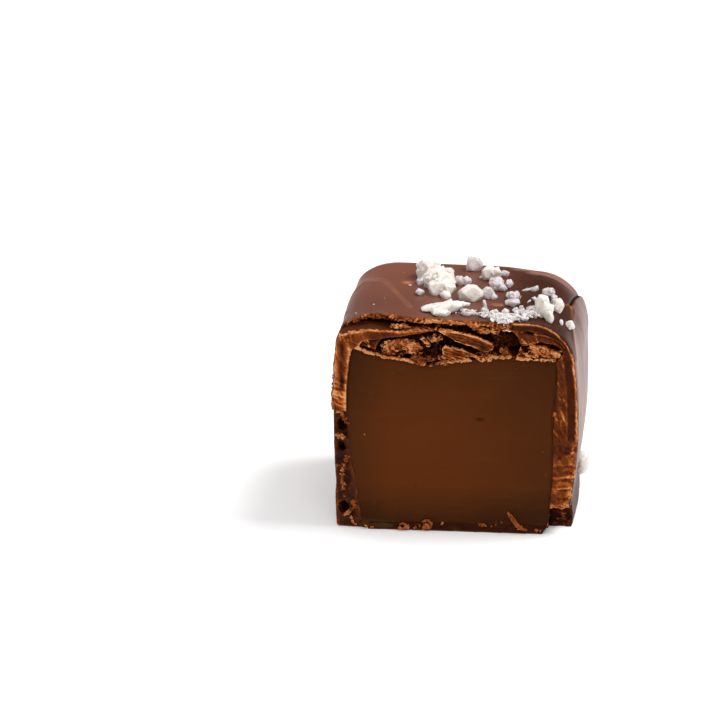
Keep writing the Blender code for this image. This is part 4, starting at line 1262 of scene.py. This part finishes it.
chocolate = {
    "skin": (0.05, 0.0155, 0.0092), "skinPale": (0.2, 0.064, 0.036), "rubbed": (0.42, 0.15, 0.05),
    # the colour of the painted sheen on the right side and at the back edge
    "bloom": (0.27, 0.128, 0.104),
    "depths": (0.007, 0.0024, 0.0014), "dark": (0.05, 0.0115, 0.0042), "middle": (0.15, 0.033, 0.006),
    "light": (0.42, 0.108, 0.023), "edge": (0.74, 0.33, 0.13),
    "skinRoughness": 0.34, "brokenRoughness": 0.55, "sheen": 0.65,
}


def chocolateFinish():
    finish = Finish("chocolate")
    cut, tone, rub, gloss, bloom = [finish.stored(name) for name in ("cut", "tone", "rub", "gloss", "bloom")]
    fine = finish.noise(4500, 3)
    broad = finish.noise(260, 4)
    broken = finish.ramp(finish.clamp(tone + (fine - 0.5) * 0.22), [
        (0.0, chocolate["depths"]), (0.24, chocolate["dark"]), (0.5, chocolate["middle"]),
        (0.76, chocolate["light"]), (1.0, chocolate["edge"])])
    # The skin's colour carries painted light: a painted sheen at the back left and on the right side, and
    # painted shade at the right of the top
    pale = finish.clamp(tone + (broad - 0.5) * 0.2)
    skinColour = finish.blend(pale, chocolate["skin"], chocolate["skinPale"])
    skinColour = finish.blend(bloom, skinColour, chocolate["bloom"])
    skinColour = finish.blend(rub, skinColour, chocolate["rubbed"])
    roughness = chocolate["skinRoughness"] + (broad - 0.5) * 0.12
    roughness = roughness * (1 - cut) + cut * chocolate["brokenRoughness"]
    height = fine * cut + finish.noise(900, 2) * 0.12
    finish.set(Base_Color=finish.blend(cut, skinColour, broken), Roughness=roughness, IOR=1.45,
               Specular_IOR_Level=0.03, Coat_Weight=chocolate["sheen"] * gloss,
               Coat_Roughness=chocolate["skinRoughness"], Coat_IOR=1.45,
               Normal=finish.bump(height, 0.35, 0.00006))
    return finish.material


caramelColours = {
    "middle": (0.105, 0.0255, 0.0042), "edge": (0.042, 0.0125, 0.003),
    "smear": (0.125, 0.038, 0.008), "foot": (0.062, 0.028, 0.009),
}
# How fast the caramel darkens towards its edges, for each metre past a place
caramelShade = {"left": (-0.006, 158), "right": (0.0, 52), "top": (0.0095, 55), "bottom": (0.0047, 226)}


def caramelFinish():
    finish = Finish("caramel")
    x = finish.node("ShaderNodeSeparateXYZ", {}, {0: finish.place()}, 0)
    z = finish.node("ShaderNodeSeparateXYZ", {}, {0: finish.place()}, 2)
    cloud = finish.noise(110, 3)
    smear = finish.noise(500, 4, (0.35, 1, 1.6))
    toEdge = (cloud - 0.5) * 0.4
    for side, (start, rate) in caramelShade.items():
        place = x if side in ("left", "right") else z
        past = start - place if side in ("left", "bottom") else place - start
        toEdge = toEdge + finish.clamp(past * rate)
    colour = finish.blend(finish.clamp(toEdge), caramelColours["middle"], caramelColours["edge"])
    colour = finish.blend(finish.clamp((smear - 0.56) * 1.1), colour, caramelColours["smear"])
    specks = finish.clamp((finish.noise(3800, 2) - 0.68) * 6)
    colour = finish.blend(specks * 0.25, colour, chocolate["light"])
    thinFoot = finish.clamp((0.0011 - z) * 2500) * finish.clamp((-0.0035 - x) * 600)
    colour = finish.blend(thinFoot, colour, caramelColours["foot"])
    finish.set(Base_Color=colour, Roughness=0.42 + (smear - 0.5) * 0.2, IOR=1.45, Specular_IOR_Level=0.03,
               Subsurface_Weight=0.1, Subsurface_Radius=(1.0, 0.4, 0.12), Subsurface_Scale=0.001,
               Normal=finish.bump(smear + cloud * 0.5, 0.12, 0.00008))
    return finish.material


# On the crystals the dull colour is painted shade in their creases and the bright one painted light on their
# edges, mixed with random mottle; the fine salt's two colours are random mottle
salts = {   # dull and bright colour, clearness, roughness, how far light spreads inside in metres
    "white_salt": ((0.66, 0.57, 0.49), (0.93, 0.89, 0.84), 0.0, 0.35, 0.0008),
    "clear_salt": ((0.46, 0.355, 0.35), (0.97, 0.91, 0.91), 0.22, 0.22, 0.0008),
    "fine_salt": ((0.7, 0.62, 0.6), (0.96, 0.93, 0.92), 0.0, 0.4, 0.0001),
}


def saltFinish(name):
    dull, bright, clearness, roughness, spread = salts[name]
    finish = Finish(name)
    cloudy = finish.noise(1800, 4)
    if name == "fine_salt":
        factor = cloudy
    else:
        factor = finish.clamp(finish.stored("cloud") + (cloudy - 0.5) * 0.7)
    finish.set(Base_Color=finish.blend(factor, dull, bright), Roughness=roughness, IOR=1.5,
               Transmission_Weight=clearness, Subsurface_Weight=0.85,
               Subsurface_Radius=(1, 0.95, 0.9), Subsurface_Scale=spread,
               Normal=finish.bump(finish.noise(3500, 3), 0.4, 0.00004))
    return finish.material


def floorFinish():
    finish = Finish("floor")
    paper = finish.noise(40, 2)
    finish.set(Base_Color=finish.blend(paper, (0.9, 0.9, 0.9), (0.91, 0.91, 0.91)), Roughness=0.9,
               Emission_Color=(1, 1, 1, 1), Emission_Strength=0.14)
    return finish.material


chocolateLook = chocolateFinish()
shell = settle(makeCoating(), chocolateLook)
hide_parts("coating")
core = settle(makeCaramel(), caramelFinish())
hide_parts("caramel")
settle(makeFlakes(), chocolateLook)
settle(makeShards(), chocolateLook, smooth=False)
settle(makeCrumbs(), chocolateLook)
settle(makeCrystals("white_salt", salt["white"]), saltFinish("white_salt"))
settle(makeCrystals("clear_salt", salt["clear"]), saltFinish("clear_salt"))
settle(makeFineSalt(), saltFinish("fine_salt"), smooth=False)
print("pieces made")


bpy.ops.mesh.primitive_plane_add(size=2)
floor = bpy.context.object
floor.name = "floor"
floor.data.materials.append(floorFinish())

lights = {   # which way each lies, how wide it looks in degrees, and its strength
    "key": ((0.56, 0.12, 0.9), 24, 2.2),
    "overhead": ((-0.05, 0.1, 1), 100, 1.6),
    "front": ((0.1, -1, 0.75), 60, 0.8),
    "back_left": ((-0.7, 0.8, 0.4), 34, 0.35),
}
for name, (way, width, strength) in lights.items():
    bpy.ops.object.light_add(type="SUN", location=Vector(way) * 0.3)
    light = bpy.context.object
    light.name = name
    light.rotation_euler = (-Vector(way)).to_track_quat("-Z", "Y").to_euler()
    light.data.angle = math.radians(width)
    light.data.energy = strength

world = bpy.data.worlds.new("studio")
bpy.context.scene.world = world
world.use_nodes = True
world.node_tree.nodes["Background"].inputs[0].default_value = (1, 1, 1, 1)
world.node_tree.nodes["Background"].inputs[1].default_value = 0.1
bpy.context.scene.view_settings.view_transform = "Standard"

view = {"azimuth": math.radians(7), "elevation": math.radians(20), "distance": 0.296691,
        "target": (-0.010539, 0, 0.013811), "lens": 157.63}
away = Vector((math.sin(view["azimuth"]) * math.cos(view["elevation"]),
               -math.cos(view["azimuth"]) * math.cos(view["elevation"]), math.sin(view["elevation"])))
bpy.ops.object.camera_add(location=Vector(view["target"]) + away * view["distance"])
camera = bpy.context.object
camera.rotation_euler = (-away).to_track_quat("-Z", "Y").to_euler()
camera.data.sensor_width = 36
camera.data.lens = view["lens"]
camera.data.clip_start = 0.01
bpy.context.scene.camera = camera

print("scene ready")
